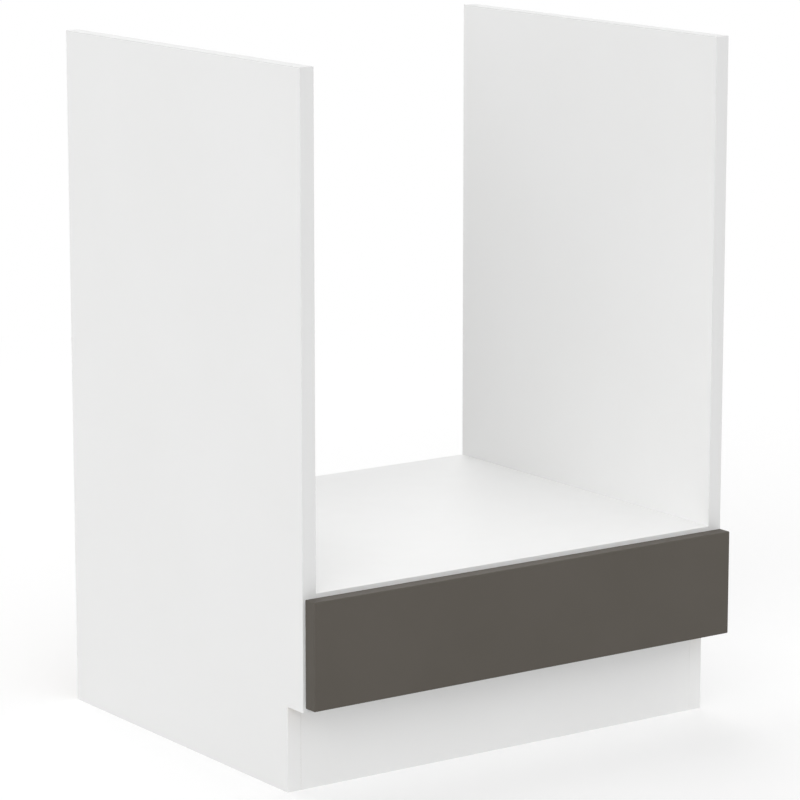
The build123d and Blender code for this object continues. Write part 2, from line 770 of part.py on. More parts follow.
def bumpers():
    """Four soft dots between the drawer front and the carcass's front edges."""
    dot = turned((bumper_rim, bumper_radius - bumper_rim, bumper_radius),
                 (bumper_thickness - bumper_rim, bumper_radius, bumper_radius))
    low = plinth_height + front_bottom_reveal + bumper_margin + bumper_radius
    high = shelf_top - front_top_reveal - bumper_margin - bumper_radius
    middle = half_width - board / 2
    dots = [aim(dot, (middle, carcass_y, z), (0, -1, 0)) for z in (low, high)]
    return [piece for one in dots for piece in both_sides(one)]


def main():
    os.makedirs("parts", exist_ok=True)
    inwards = (-1, 0, 0)

    for name, piece in (("side_panel", side_panel()), ("cabinet_runner", cabinet_runner()),
                        ("drawer_side", drawer_side()), ("drawer_runner", drawer_runner())):
        right, left = both_sides(piece)
        write(f"{name}_right", right)
        write(f"{name}_left", left)
    write("edge_bands_right", *side_strips())
    write("edge_bands_left", *[mirror(strip, about=Plane.YZ) for strip in side_strips()])
    write("bottom_panel", bottom_panel())
    write("edge_band_bottom", shelf_strip(plinth_height))
    write("oven_shelf", oven_shelf())
    write("edge_band_shelf", shelf_strip(shelf_under))
    write("plinth_board", plinth_board())
    write("back_panel", back_panel())

    bolts = [p for point in cam_points() for p in both_sides(aim(cam_bolt(), point, (1, 0, 0)))]
    write("cam_bolts", *bolts)
    cams = []
    for x, y, z in cam_points():
        cams += both_sides(Pos(x - cam_reach, y, z) * cam_lock())
    write("cam_locks", *cams)
    dowels = []
    for point in board_dowel_points() + plinth_dowel_points():
        start = Vector(*point) + Vector(dowel_in_side, 0, 0)
        dowels += both_sides(aim(wood_dowel(), start, inwards))
    write("wood_dowels", *dowels)
    angles, screws = plinth_angles()
    write("plinth_angles", *angles)
    write("plinth_angle_screws", *screws)

    screws = [aim(flat_screw(), point, (1, 0, 0)) for point in channel_screw_points()]
    write("cabinet_runner_screws", *[p for screw in screws for p in both_sides(screw)])
    pin = aim(roller_pin(), (inner_x, front_roller_y, roller_z), inwards)
    write("front_roller_pins", *both_sides(pin))
    front_right, front_left = both_sides(Pos(roller_x, front_roller_y, roller_z) * roller())
    write("front_roller_right", front_right)
    write("front_roller_left", front_left)

    write("drawer_front", drawer_front())
    write("drawer_box_front", drawer_box_front())
    write("drawer_box_back", drawer_box_back())
    write("drawer_base", drawer_base())
    write("edge_bands_drawer", *drawer_strips())
    write("bumpers", *bumpers())
    flange_screw = pan_screw(runner_sheet + screw_bite)
    screws = [aim(flange_screw, point, (0, 0, 1)) for point in drawer_flange_screw_points()]
    write("drawer_runner_screws", *[p for screw in screws for p in both_sides(screw)])
    screws = [aim(box_screw(), point, inwards) for point in box_screw_points()]
    write("box_screws", *[p for screw in screws for p in both_sides(screw)])
    front_screw = pan_screw(drawer_board + front_screw_bite)
    write("front_screws", *[aim(front_screw, point, (0, -1, 0)) for point in front_screw_points()])
    base_screw = pan_screw(hardboard + screw_bite)
    write("base_screws", *[aim(base_screw, point, (0, 0, 1)) for point in base_screw_points()])
    pin = aim(roller_pin(), (box_x, rear_roller_y, roller_z), (1, 0, 0))
    write("rear_roller_pins", *both_sides(pin))
    rear_right, rear_left = both_sides(Pos(roller_x, rear_roller_y, roller_z) * roller())
    write("rear_roller_right", rear_right)
    write("rear_roller_left", rear_left)


main()
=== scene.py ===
# %% [markdown]
# # An oven base cabinet
#
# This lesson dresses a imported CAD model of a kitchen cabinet: two white sides, a shelf that carries a
# built-in oven, a set-back plinth and a shallow drawer with a dark front. The CAD model already holds
# every piece at its real size, so Blender adds what the eye reads: finishes, eased arrises, threads.
# Everything is in metres and in the CAD model's own frame, so nothing has to be fitted into place.

# %% Load the fixed frame
import json
import math

import bmesh
import bpy
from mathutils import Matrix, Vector

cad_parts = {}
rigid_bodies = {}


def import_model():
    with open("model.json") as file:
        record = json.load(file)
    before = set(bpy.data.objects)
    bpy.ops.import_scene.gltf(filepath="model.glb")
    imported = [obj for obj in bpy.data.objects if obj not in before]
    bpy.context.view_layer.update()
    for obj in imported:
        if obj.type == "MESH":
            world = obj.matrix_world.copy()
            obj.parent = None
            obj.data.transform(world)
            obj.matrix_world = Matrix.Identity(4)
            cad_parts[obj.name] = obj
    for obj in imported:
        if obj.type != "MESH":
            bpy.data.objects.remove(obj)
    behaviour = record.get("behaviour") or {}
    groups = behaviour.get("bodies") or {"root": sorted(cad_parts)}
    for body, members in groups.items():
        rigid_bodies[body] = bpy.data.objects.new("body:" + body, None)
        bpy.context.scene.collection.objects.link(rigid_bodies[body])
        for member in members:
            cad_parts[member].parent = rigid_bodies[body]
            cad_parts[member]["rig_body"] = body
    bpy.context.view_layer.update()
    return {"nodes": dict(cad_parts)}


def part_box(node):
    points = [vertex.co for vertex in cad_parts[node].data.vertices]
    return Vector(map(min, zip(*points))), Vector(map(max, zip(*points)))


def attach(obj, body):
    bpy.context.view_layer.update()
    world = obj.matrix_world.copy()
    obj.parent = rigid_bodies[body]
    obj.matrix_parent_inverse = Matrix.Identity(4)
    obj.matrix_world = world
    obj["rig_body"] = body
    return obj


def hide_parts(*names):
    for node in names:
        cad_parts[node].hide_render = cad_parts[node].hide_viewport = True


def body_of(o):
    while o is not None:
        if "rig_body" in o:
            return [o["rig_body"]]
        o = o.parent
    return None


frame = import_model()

MM = 0.001


# %% [markdown]
# ## The camera
#
# The photograph was taken with a long lens from the left of the front and a little above the cabinet.
# The view could be matched by dragging the camera about, but straight edges tell more: the camera's
# place and its focal length were fitted to them. They are in real units, as a photographer notes them.

# %% Camera at the photograph's viewing angle
camera_place = Vector((-2.488, -3.543, 1.246))
camera_azimuth = math.radians(-35.08)
camera_pitch = math.radians(11.286)
focal_length_mm = 166.2

camera_data = bpy.data.cameras.new("camera")
camera_data.lens = focal_length_mm
camera_data.sensor_width = 36.0
camera = bpy.data.objects.new("camera", camera_data)
camera.location = camera_place
camera.rotation_euler = (math.radians(90) - camera_pitch, 0, camera_azimuth)
bpy.context.scene.collection.objects.link(camera)
bpy.context.scene.camera = camera
print("camera is", round(camera_place.length, 2), "m from the origin")


# %% [markdown]
# ## The world
#
# White furniture is photographed in light that comes from all around, so the world itself shines a
# little. A picture of a studio could light the cabinet too, but one even colour needs no file. What the
# camera, a gloss or a clear piece sees of the world is plain white, as in a white room, while a matt
# surface only gets the world's own strength.
#
# Worlds, materials and Geometry Nodes are all trees of nodes. One helper adds a node and fills its
# inputs, each with a plain value or with another node's output. A second one does sums.

# %% World
world_light = 0.36
white_light = {"Color": (1, 1, 1, 1), "Strength": 1.0}


def add_node(tree, kind, inputs=None, **settings):
    """Adds a node. Each input is a plain value or another node's output socket."""
    made = tree.nodes.new(kind)
    for name, value in settings.items():
        setattr(made, name, value)
    for name, value in (inputs or {}).items():
        if isinstance(value, bpy.types.NodeSocket):
            tree.links.new(value, made.inputs[name])
        elif value is not None:
            made.inputs[name].default_value = value
    return made


def calculate(tree, operation, first, second=None, third=None):
    """One sum on plain values or outputs; the answer is an output."""
    answer = add_node(tree, "ShaderNodeMath", {0: first, 1: second, 2: third}, operation=operation)
    return answer.outputs[0]


def seen_directly(tree):
    """1 for rays that show a background: camera, glossy and transmission rays."""
    path = add_node(tree, "ShaderNodeLightPath")
    straight = calculate(tree, "MAXIMUM", path.outputs["Is Camera Ray"], path.outputs["Is Glossy Ray"])
    return calculate(tree, "MAXIMUM", straight, path.outputs["Is Transmission Ray"])


world = bpy.data.worlds.new("studio")
world.use_nodes = True
bpy.context.scene.world = world
bpy.context.scene.view_settings.view_transform = "Standard"
tree = world.node_tree
tree.nodes.clear()
light = add_node(tree, "ShaderNodeBackground", {"Color": (1, 1, 1, 1), "Strength": world_light})
white = add_node(tree, "ShaderNodeBackground", white_light)
mixed = add_node(tree, "ShaderNodeMixShader", {0: seen_directly(tree), 1: light.outputs[0],
                 2: white.outputs[0]})
add_node(tree, "ShaderNodeOutputWorld", {"Surface": mixed.outputs[0]})
print("the world lights with strength", world_light, "and looks white")


# %% [markdown]
# ## The floor
#
# A studio's floor is white paper that runs on behind the picture. A plane is enough for that, with a
# paint that looks white but throws back less light than white would, or the sides would glow near the
# ground. The floor keeps the cabinet's shadow, though a paler one: where it is seen directly, it is
# partly plain white, and further out wholly, so that no horizon shows.

# %% Floor
floor_reach = 15.0
floor_seen = 0.98
floor_bounce = 0.72
least_white = 0.45
white_from, white_at = 1.2, 2.6

mesh = bpy.data.meshes.new("floor")
corners = [(-floor_reach, -floor_reach, 0), (floor_reach, -floor_reach, 0),
           (floor_reach, floor_reach, 0), (-floor_reach, floor_reach, 0)]
mesh.from_pydata(corners, [], [(0, 1, 2, 3)])
floor = bpy.data.objects.new("floor", mesh)
bpy.context.scene.collection.objects.link(floor)

paint = bpy.data.materials.new("floor_paint")
paint.use_nodes = True
tree = paint.node_tree
tree.nodes.clear()
direct = seen_directly(tree)
shade = calculate(tree, "MULTIPLY_ADD", direct, floor_seen - floor_bounce, floor_bounce)
diffuse = add_node(tree, "ShaderNodeBsdfDiffuse", {"Color": shade})
white = add_node(tree, "ShaderNodeEmission", white_light)
spot = add_node(tree, "ShaderNodeTexCoord").outputs["Object"]
distance = add_node(tree, "ShaderNodeVectorMath", {0: spot}, operation="LENGTH").outputs["Value"]
far = add_node(tree, "ShaderNodeMapRange", {"Value": distance, "From Min": white_from,
               "From Max": white_at}, interpolation_type="SMOOTHSTEP").outputs[0]
far = calculate(tree, "MULTIPLY", calculate(tree, "MAXIMUM", far, least_white), direct)
mixed = add_node(tree, "ShaderNodeMixShader", {0: far, 1: diffuse.outputs[0], 2: white.outputs[0]})
add_node(tree, "ShaderNodeOutputMaterial", {"Surface": mixed.outputs[0]})
mesh.materials.append(paint)
print("floor is", 2 * floor_reach, "m wide and plain white from", white_at, "m out")


# %% [markdown]
# ## The lamps
#
# Four very soft lamps do the rest: a low key from the left that reaches into the toe space, one from
# the front, and fills from the right and from behind, so that no side is left dark. Area lamps would be
# soft too, but their light falls off. A sun lamp with a wide angle has no fall-off, so the floor stays
# even. The strengths were found by rendering each light alone and adding them up until the white faces
# had the photograph's tones.

# %% Lamps
soft_angle = math.radians(60)
lamps = {   # compass angle in degrees (0 is the front), height above the floor, strength
    "low_key": (-60, 15, 1.22),
    "front": (-30, 30, 0.91),
    "fill_right": (45, 45, 0.58),
    "fill_behind": (180, 45, 1.33),
}
for name, (azimuth, elevation, strength) in lamps.items():
    data = bpy.data.lights.new(name, "SUN")
    data.energy = strength
    data.angle = soft_angle
    around, up = math.radians(azimuth), math.radians(elevation)
    towards = Vector((math.sin(around) * math.cos(up), -math.cos(around) * math.cos(up), math.sin(up)))
    lamp = bpy.data.objects.new(name, data)
    lamp.rotation_euler = towards.to_track_quat("Z", "Y").to_euler()
    bpy.context.scene.collection.objects.link(lamp)
print(len(lamps), "soft suns:", ", ".join(lamps))


# %% [markdown]
# ## Patterns for finishes
#
# A finish that is one flat colour looks like a drawing. Real board, plastic and metal vary a little in
# colour and gloss. Pictures of a surface could show that, but each piece would have to be unwrapped for
# them. Noise on Object coordinates needs no unwrapping and keeps its real size on every piece: a scale
# of 800 means 800 grains to the metre. Most of a noise's values lie in its middle, so the middle is what
# gets stretched between two colours or two roughnesses.

# %% Helpers for patterns
noise_low, noise_high = 0.3, 0.7


def spot_on_piece(tree, stretch=(1, 1, 1)):
    """Object coordinates in metres, stretched where a pattern runs along the piece."""
    spot = add_node(tree, "ShaderNodeTexCoord").outputs["Object"]
    return add_node(tree, "ShaderNodeMapping", {"Vector": spot, "Scale": stretch}).outputs[0]


def grains(tree, per_metre, spot=None, detail=2.0, rough=0.5):
    """Noise between 0 and 1 with so many grains to the metre."""
    spot = spot or spot_on_piece(tree)
    return add_node(tree, "ShaderNodeTexNoise", {"Vector": spot, "Scale": per_metre, "Detail": detail,
                    "Roughness": rough}).outputs["Fac"]


def remap(tree, value, low, high, to_low=0.0, to_high=1.0):
    """Stretches low..high to to_low..to_high and holds the ends."""
    return add_node(tree, "ShaderNodeMapRange", {"Value": value, "From Min": low, "From Max": high,
                    "To Min": to_low, "To Max": to_high}).outputs[0]


def blend_colours(tree, share, first, second):
    """Mixes two colours, each three numbers or an output."""
    made = add_node(tree, "ShaderNodeMix", data_type="RGBA")
    tree.links.new(share, made.inputs[0])
    for socket, value in ((made.inputs[6], first), (made.inputs[7], second)):
        if isinstance(value, bpy.types.NodeSocket):
            tree.links.new(value, socket)
        else:
            socket.default_value = (*value, 1)
    return made.outputs[2]


def vary(tree, noise, first, second):
    """Lets noise pick between two colours or between two numbers."""
    if isinstance(first, tuple):
        return blend_colours(tree, remap(tree, noise, noise_low, noise_high), first, second)
    return remap(tree, noise, noise_low, noise_high, first, second)


print("noise is stretched from", noise_low, "to", noise_high)


# %% [markdown]
# ## The bumpers' plastic
#
# The simplest finish comes first. Four soft dots keep the drawer front off the cabinet. They are clear
# plastic with a frosted skin, so a part of the light passes through them. A relief of a few hundredths
# of a millimetre comes from Bump, because it is far too fine to be worth a mesh.

# %% Helpers for a material, and the bumpers' plastic
finishes = {}


def new_finish(name, colour, roughness, **sockets):
    """A new material. Values that are the same all over are set on the shader's own sockets."""
    finishes[name] = bpy.data.materials.new(name)
    finishes[name].use_nodes = True
    tree = finishes[name].node_tree
    shader = tree.nodes["Principled BSDF"]
    shader.inputs["Base Color"].default_value = (*colour, 1)
    shader.inputs["Roughness"].default_value = roughness
    for socket, value in sockets.items():
        shader.inputs[socket.replace("_", " ")].default_value = value
    return tree, shader


def relief(tree, height, depth_mm, strength, under=None):
    """Bump from a height between 0 and 1 that stands for a depth in millimetres."""
    return add_node(tree, "ShaderNodeBump", {"Height": height, "Distance": depth_mm * MM,
                    "Strength": strength, "Normal": under}).outputs[0]


def connect(tree, shader, colour, roughness, bumps):
    """Links what varies over the surface to the shader."""
    for socket, value in (("Base Color", colour), ("Roughness", roughness), ("Normal", bumps)):
        tree.links.new(value, shader.inputs[socket])


tree, shader = new_finish("bumper", (0.88, 0.88, 0.86), 0.34, Transmission_Weight=0.32, IOR=1.46)
haze = grains(tree, 800.0, detail=3.0)
tint = vary(tree, haze, (0.86, 0.86, 0.84), (0.90, 0.90, 0.885))
bumps = relief(tree, haze, depth_mm=0.03, strength=0.3)
connect(tree, shader, tint, vary(tree, haze, 0.28, 0.40), bumps)
print("bumper plastic:", len(tree.nodes), "nodes")


# %% [markdown]
# ## Beech
#
# Dowels are turned from beech: a pale wood with fine grain and short dark flecks that run along it. The
# trunk's rings could be modelled round a centre, but on a rod of 8 mm only their lines show. A noise
# that is stretched along X makes the lines and the flecks, because all the dowels lie that way.

# %% Beech
along_grain, along_fleck = (0.06, 1, 1), (0.15, 1, 1)
fleck_strength = 0.6

tree, shader = new_finish("beech", (0.62, 0.43, 0.26), 0.62)
lines = grains(tree, 900.0, spot_on_piece(tree, along_grain), 3.0)
flecks = remap(tree, grains(tree, 2600.0, spot_on_piece(tree, along_fleck)), 0.58, 0.66)
tint = vary(tree, lines, (0.52, 0.33, 0.185), (0.70, 0.50, 0.32))
tint = blend_colours(tree, calculate(tree, "MULTIPLY", flecks, fleck_strength), tint, (0.36, 0.20, 0.10))
bumps = relief(tree, lines, depth_mm=0.05, strength=0.5)
connect(tree, shader, tint, vary(tree, lines, 0.56, 0.70), bumps)
print("beech:", len(tree.nodes), "nodes")


# %% [markdown]
# ## Nylon, and wear
#
# The runners' rollers are nylon, which lets a little light into it, so its shader has some subsurface.
# Their rims are dusty from rolling. Wear sits on arrises. It could be painted by hand, but a Bevel node
# finds every arris by itself: it gives the normal that an arris would have if it were rounded, and where
# that differs from the true normal, the worn colour comes in, broken up by noise.

# %% A helper for wear, and nylon
flat_enough, fully_turned = 0.995, 0.80


def wear(tree, colour, worn_colour, width_mm, amount, spots_per_metre=220):
    """Blends a colour towards a worn one along the piece's arrises."""
    rounded = add_node(tree, "ShaderNodeBevel", {"Radius": width_mm * MM}, samples=6).outputs[0]
    flat = add_node(tree, "ShaderNodeNewGeometry").outputs["Normal"]
    same = add_node(tree, "ShaderNodeVectorMath", {0: rounded, 1: flat}, operation="DOT_PRODUCT")
    turned_away = remap(tree, same.outputs["Value"], flat_enough, fully_turned)
    patchy = remap(tree, grains(tree, spots_per_metre), 0.35, 0.65)
    rubbed = calculate(tree, "MULTIPLY", calculate(tree, "MULTIPLY", turned_away, patchy), amount)
    return blend_colours(tree, rubbed, colour, worn_colour)


tree, shader = new_finish("nylon", (0.80, 0.79, 0.75), 0.38, Subsurface_Weight=0.25,
                          Subsurface_Scale=2 * MM)
cloudy = grains(tree, 240.0, detail=3.0)
tint = vary(tree, cloudy, (0.78, 0.77, 0.725), (0.83, 0.82, 0.785))
tint = wear(tree, tint, (0.52, 0.51, 0.48), width_mm=0.5, amount=0.4, spots_per_metre=700)
bumps = relief(tree, grains(tree, 1500.0), depth_mm=0.03, strength=0.3)
connect(tree, shader, tint, vary(tree, cloudy, 0.33, 0.46), bumps)
print("nylon:", len(tree.nodes), "nodes")


# %% [markdown]
# ## Bare metals
#
# Cams are cast zinc, dull and mottled. Angles and pins are zinc plated, screws are brighter steel. All
# three are one recipe with other numbers: blotches of a lighter and a darker grey, bright arrises where
# a tool has slipped, and a fine grain. So a loop makes them.

# %% Zinc, zinc plate and screw steel
metals = {   # light, dark, usual roughness, blotches to the metre, depth of the grain in mm
    "zinc": ((0.63, 0.63, 0.64), (0.46, 0.46, 0.47), 0.44, 260.0, 0.06),
    "zinc_plate": ((0.72, 0.74, 0.77), (0.58, 0.60, 0.62), 0.27, 140.0, 0.02),
    "screw_steel": ((0.66, 0.65, 0.62), (0.50, 0.49, 0.47), 0.30, 420.0, 0.02),
}
scratched = 1.18
smoother, rougher = 0.06, 0.08
grains_per_blotch = 6
for name, (light, dark, usual, blotches, depth_mm) in metals.items():
    tree, shader = new_finish(name, light, usual, Metallic=1.0)
    spots = vary(tree, grains(tree, blotches, detail=4.0, rough=0.6), 0.0, 1.0)
    bright = tuple(min(1.0, v * scratched) for v in light)
    tint = blend_colours(tree, spots, light, dark)
    tint = wear(tree, tint, bright, width_mm=0.25, amount=1.0, spots_per_metre=900)
    roughness = remap(tree, spots, 0.0, 1.0, usual - smoother, usual + rougher)
    bumps = relief(tree, grains(tree, blotches * grains_per_blotch), depth_mm, strength=0.4)
    connect(tree, shader, tint, roughness, bumps)
    print(f"{name}: {len(tree.nodes)} nodes")


# %% [markdown]
# ## Powder-coated runners
#
# The steel runners are powder coated, so they are white with the soft ripple that baked powder has. The
# rollers have worn a grey track into their level faces. It could be painted on, but the rollers say
# where it must be: its place and its width are measured from a roller's box, and streaks run along it.

# %% Powder coat
roller_low, roller_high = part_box("front_roller_right")
track_middle = (roller_low.x + roller_high.x) / 2
track_width = roller_high.x - roller_low.x
track_edge, track_core = track_width * 0.52, track_width * 0.40
along_track = (1, 0.02, 1)
nearly_level = 0.9
coat_colour, track_colour, chip_colour = (0.76, 0.77, 0.77), (0.42, 0.42, 0.42), (0.45, 0.45, 0.46)
new_roughness, track_roughness = 0.34, 0.22
track_strength = 0.55

tree, shader = new_finish("runner_steel", coat_colour, new_roughness, Coat_Weight=0.15,
                          Coat_Roughness=0.2)
spot = add_node(tree, "ShaderNodeSeparateXYZ", {0: spot_on_piece(tree)})
facing = add_node(tree, "ShaderNodeNewGeometry").outputs["Normal"]
upright = add_node(tree, "ShaderNodeSeparateXYZ", {0: facing}).outputs[2]
level = calculate(tree, "GREATER_THAN", calculate(tree, "ABSOLUTE", upright), nearly_level)
off_track = calculate(tree, "SUBTRACT", calculate(tree, "ABSOLUTE", spot.outputs[0]), track_middle)
on_track = remap(tree, calculate(tree, "ABSOLUTE", off_track), track_edge, track_core)
streaks = remap(tree, grains(tree, 500.0, spot_on_piece(tree, along_track), 3.0), 0.35, 0.62)
rolled = calculate(tree, "MULTIPLY", calculate(tree, "MULTIPLY", on_track, level), streaks)
worn_grey = calculate(tree, "MULTIPLY", rolled, track_strength)
tint = blend_colours(tree, worn_grey, coat_colour, track_colour)
tint = wear(tree, tint, chip_colour, width_mm=0.35, amount=0.55, spots_per_metre=500)
ripple = relief(tree, grains(tree, 420.0, detail=1.0), depth_mm=0.05, strength=0.35)
roughness = remap(tree, rolled, 0.0, 1.0, new_roughness, track_roughness)
connect(tree, shader, tint, roughness, ripple)
print(f"roller track: {track_width / MM:.1f} mm wide, {track_middle / MM:.1f} mm from the middle")


# %% [markdown]
# ## Chipboard core
#
# The cabinet's boards are chipboard with a thin white melamine skin. One material makes both, because a
# real board is both. Where a board is sawn or drilled, its core shows: coarse flakes in the middle and
# fine chips near the skins. A Voronoi texture suits it, because each of its cells has a colour of its
# own, as a flake has. It reads two attributes that the boards are given later: grain turns the flakes to
# lie flat in the board, and across says how far a point is from the board's middle, with 1 at the skin.

# %% Chipboard core
coarse_flakes, fine_flakes = 260.0, 900.0
flat_flakes = (1, 1, 3.2)
dark_flake, brown_flake = (0.20, 0.115, 0.055, 1), (0.42, 0.28, 0.15, 1)
pale_flake = (0.66, 0.50, 0.31, 1)
coarse_until, fine_from = 0.50, 0.66
fine_height = 0.4
skin_colour = (0.825, 0.826, 0.822)

tree, shader = new_finish("white_board", skin_colour, 0.42, Specular_IOR_Level=0.35)
grain = add_node(tree, "ShaderNodeAttribute", attribute_name="grain").outputs["Vector"]
flat = add_node(tree, "ShaderNodeMapping", {"Vector": grain, "Scale": flat_flakes}).outputs[0]
woods, heights = [], []
for per_metre in (coarse_flakes, fine_flakes):
    flakes = add_node(tree, "ShaderNodeTexVoronoi", {"Vector": flat, "Scale": per_metre})
    shade = add_node(tree, "ShaderNodeSeparateColor", {"Color": flakes.outputs["Color"]}).outputs[0]
    colours = add_node(tree, "ShaderNodeValToRGB", {"Fac": shade})
    ramp = colours.color_ramp.elements
    ramp[0].color, ramp[1].color = dark_flake, pale_flake
    ramp.new(0.45).color = brown_flake
    woods.append(colours.outputs[0])
    heights.append(flakes.outputs["Distance"])
across = add_node(tree, "ShaderNodeAttribute", attribute_name="across").outputs["Fac"]
from_middle = calculate(tree, "ABSOLUTE", across)
wood = blend_colours(tree, remap(tree, from_middle, coarse_until, fine_from), *woods)
wood_height = calculate(tree, "ADD", heights[0], calculate(tree, "MULTIPLY", heights[1], fine_height))
print("chipboard:", coarse_flakes, "flakes to the metre in the middle,", fine_flakes, "near the skins")


# %% [markdown]
# ## White board
#
# The melamine skin is white, pressed with a faint pearl texture and wiped to an uneven gloss, with a
# little dirt along the arrises. A third attribute, raw, says which faces were sawn or drilled. The core
# shows there, but for the last bit of the board's thickness, which is the skin seen from its side.

# %% White board
skin_starts = 0.967
core_roughness = 0.85

skin = vary(tree, grains(tree, 4.0), (0.818, 0.819, 0.814), (0.832, 0.833, 0.830))
skin = wear(tree, skin, (0.68, 0.67, 0.64), width_mm=0.7, amount=0.22)
raw = add_node(tree, "ShaderNodeAttribute", attribute_name="raw").outputs["Fac"]
core = calculate(tree, "MULTIPLY", raw, calculate(tree, "LESS_THAN", from_middle, skin_starts))
wiped = vary(tree, grains(tree, 30.0, detail=3.0), 0.37, 0.47)
roughness = calculate(tree, "MAXIMUM", wiped, calculate(tree, "MULTIPLY", core, core_roughness))
pearl = relief(tree, grains(tree, 1500.0, detail=1.0), depth_mm=0.030, strength=0.35)
rough_wood = calculate(tree, "MULTIPLY", wood_height, core)
flaky = relief(tree, rough_wood, depth_mm=0.5, strength=0.8, under=pearl)
connect(tree, shader, blend_colours(tree, core, skin, wood), roughness, flaky)
print("white board:", len(tree.nodes), "nodes, core and skin together")


# %% [markdown]
# ## Edging
#
# The strips on the boards' front edges are solid plastic, smoother than the skins, with the faint upright
# lines of the die that they were drawn through. Their colour is a touch greyer than the skins' as painted
# shade, which darkens the front-facing edges as if less light fell on them. Below the plinth's top the
# strips take the boards' colour without that painted shade, so the toe space shows one face without a
# seam.

# %% Edging
plinth_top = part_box("plinth_board")[1].z
drawn_upwards = (1, 1, 0.05)

# Painted shade: the base colour is greyer than the skins' so that the front edges look less lit.
tree, shader = new_finish("white_edging", (0.725, 0.727, 0.725), 0.34)
drawn = grains(tree, 60.0, spot_on_piece(tree, drawn_upwards), 3.0)
tint = vary(tree, drawn, (0.717, 0.718, 0.715), (0.733, 0.735, 0.733))
height = add_node(tree, "ShaderNodeSeparateXYZ", {0: spot_on_piece(tree)}).outputs[2]
# Below the plinth's top the painted shade is left out and the strips take the boards' colour.
tint = blend_colours(tree, calculate(tree, "LESS_THAN", height, plinth_top), tint, skin_colour)
tint = wear(tree, tint, (0.66, 0.65, 0.62), width_mm=0.5, amount=0.24)
roughness = vary(tree, grains(tree, 45.0, detail=3.0), 0.29, 0.40)
connect(tree, shader, tint, roughness, relief(tree, grains(tree, 900.0), depth_mm=0.02, strength=0.3))
print("edging takes the boards' colour below", round(plinth_top, 3), "m")


# %% [markdown]
# ## Hardboard
#
# The sheets behind and under the drawer are hardboard: lacquered white on the good side, and on the
# other brown, with patches and with the print of the wire screen that it was pressed on. Each side could
# have a material of its own, but the normal already tells them apart, because the good side looks along
# a world direction. Two crossed sines make the screen's print, which is regular as noise isn't.

# %% Hardboard
screen_pitch = 1.3 * MM
turn_per_metre = 2 * math.pi / screen_pitch
nearly_facing = 0.9
dark_fibre, light_fibre, patch_colour = (0.16, 0.085, 0.038), (0.33, 0.20, 0.105), (0.24, 0.15, 0.085)
bare_roughness, lacquer_roughness = 0.78, 0.33
most_patched, fibre_height = 0.35, 0.5
sheets = {   # the white side's direction, and the sheet's two long axes
    "back_hardboard": ((0, -1, 0), (0, 2)),
    "base_hardboard": ((0, 0, 1), (0, 1)),
}
for name, (white_side, long_axes) in sheets.items():
    tree, shader = new_finish(name, (0.8, 0.8, 0.8), 0.4)
    normal = add_node(tree, "ShaderNodeNewGeometry").outputs["True Normal"]
    facing = add_node(tree, "ShaderNodeVectorMath", {0: normal, 1: white_side}, operation="DOT_PRODUCT")
    white = calculate(tree, "GREATER_THAN", facing.outputs["Value"], nearly_facing)
    fibres = grains(tree, 700.0, detail=4.0, rough=0.7)
    brown = blend_colours(tree, remap(tree, fibres, 0.25, 0.75), dark_fibre, light_fibre)
    patches = remap(tree, grains(tree, 18.0, detail=3.0), 0.35, 0.7, 0.0, most_patched)
    brown = blend_colours(tree, patches, brown, patch_colour)
    lacquer = vary(tree, grains(tree, 6.0), (0.78, 0.78, 0.77), (0.80, 0.80, 0.795))
    spot = add_node(tree, "ShaderNodeSeparateXYZ", {0: spot_on_piece(tree)})
    turns = [calculate(tree, "MULTIPLY", spot.outputs[axis], turn_per_metre) for axis in long_axes]
    waves = [calculate(tree, "SINE", turn) for turn in turns]
    screen = remap(tree, calculate(tree, "MULTIPLY", *waves), -1.0, 1.0)
    height = calculate(tree, "ADD", calculate(tree, "MULTIPLY", fibres, fibre_height), screen)
    height = calculate(tree, "MULTIPLY", height, calculate(tree, "SUBTRACT", 1.0, white))
    roughness = remap(tree, white, 0.0, 1.0, bare_roughness, lacquer_roughness)
    bumps = relief(tree, height, depth_mm=0.12, strength=0.6)
    connect(tree, shader, blend_colours(tree, white, brown, lacquer), roughness, bumps)
    print(f"{name}: {len(tree.nodes)} nodes")


# %% [markdown]
# ## The dark foil
#
# The drawer front is wrapped in a matt grey-brown foil with a fine leathery press. It hardly reflects,
# so its specular level is low: with more of it, the white room would bleach the colour. The foil stops
# at the back face, which is white. The same raw attribute as on the boards marks that face.

# %% Grey-brown foil
back_white = (0.79, 0.79, 0.78)

tree, shader = new_finish("grey_front", (0.091, 0.0815, 0.0693), 0.66, Specular_IOR_Level=0.22)
foil = vary(tree, grains(tree, 7.0, detail=3.0), (0.0882, 0.0791, 0.0669), (0.0938, 0.0839, 0.0717))
foil = wear(tree, foil, (0.16, 0.15, 0.135), width_mm=0.8, amount=0.22)
back = add_node(tree, "ShaderNodeAttribute", attribute_name="raw").outputs["Fac"]
roughness = vary(tree, grains(tree, 22.0, detail=4.0), 0.62, 0.70)
leather = relief(tree, grains(tree, 1100.0), depth_mm=0.03, strength=0.4)
connect(tree, shader, blend_colours(tree, back, foil, back_white), roughness, leather)
print(len(finishes), "finishes:", ", ".join(finishes))


# %% [markdown]
# ## Carried-over pieces
#
# A CAD node whose shape is already right stays. Its mesh is left alone, and only its material changes,
# by assigning to the object's material slots. That is enough for the strips, the folded steel, the
# rollers, pins, angles and cams, and the two sheets of hardboard.

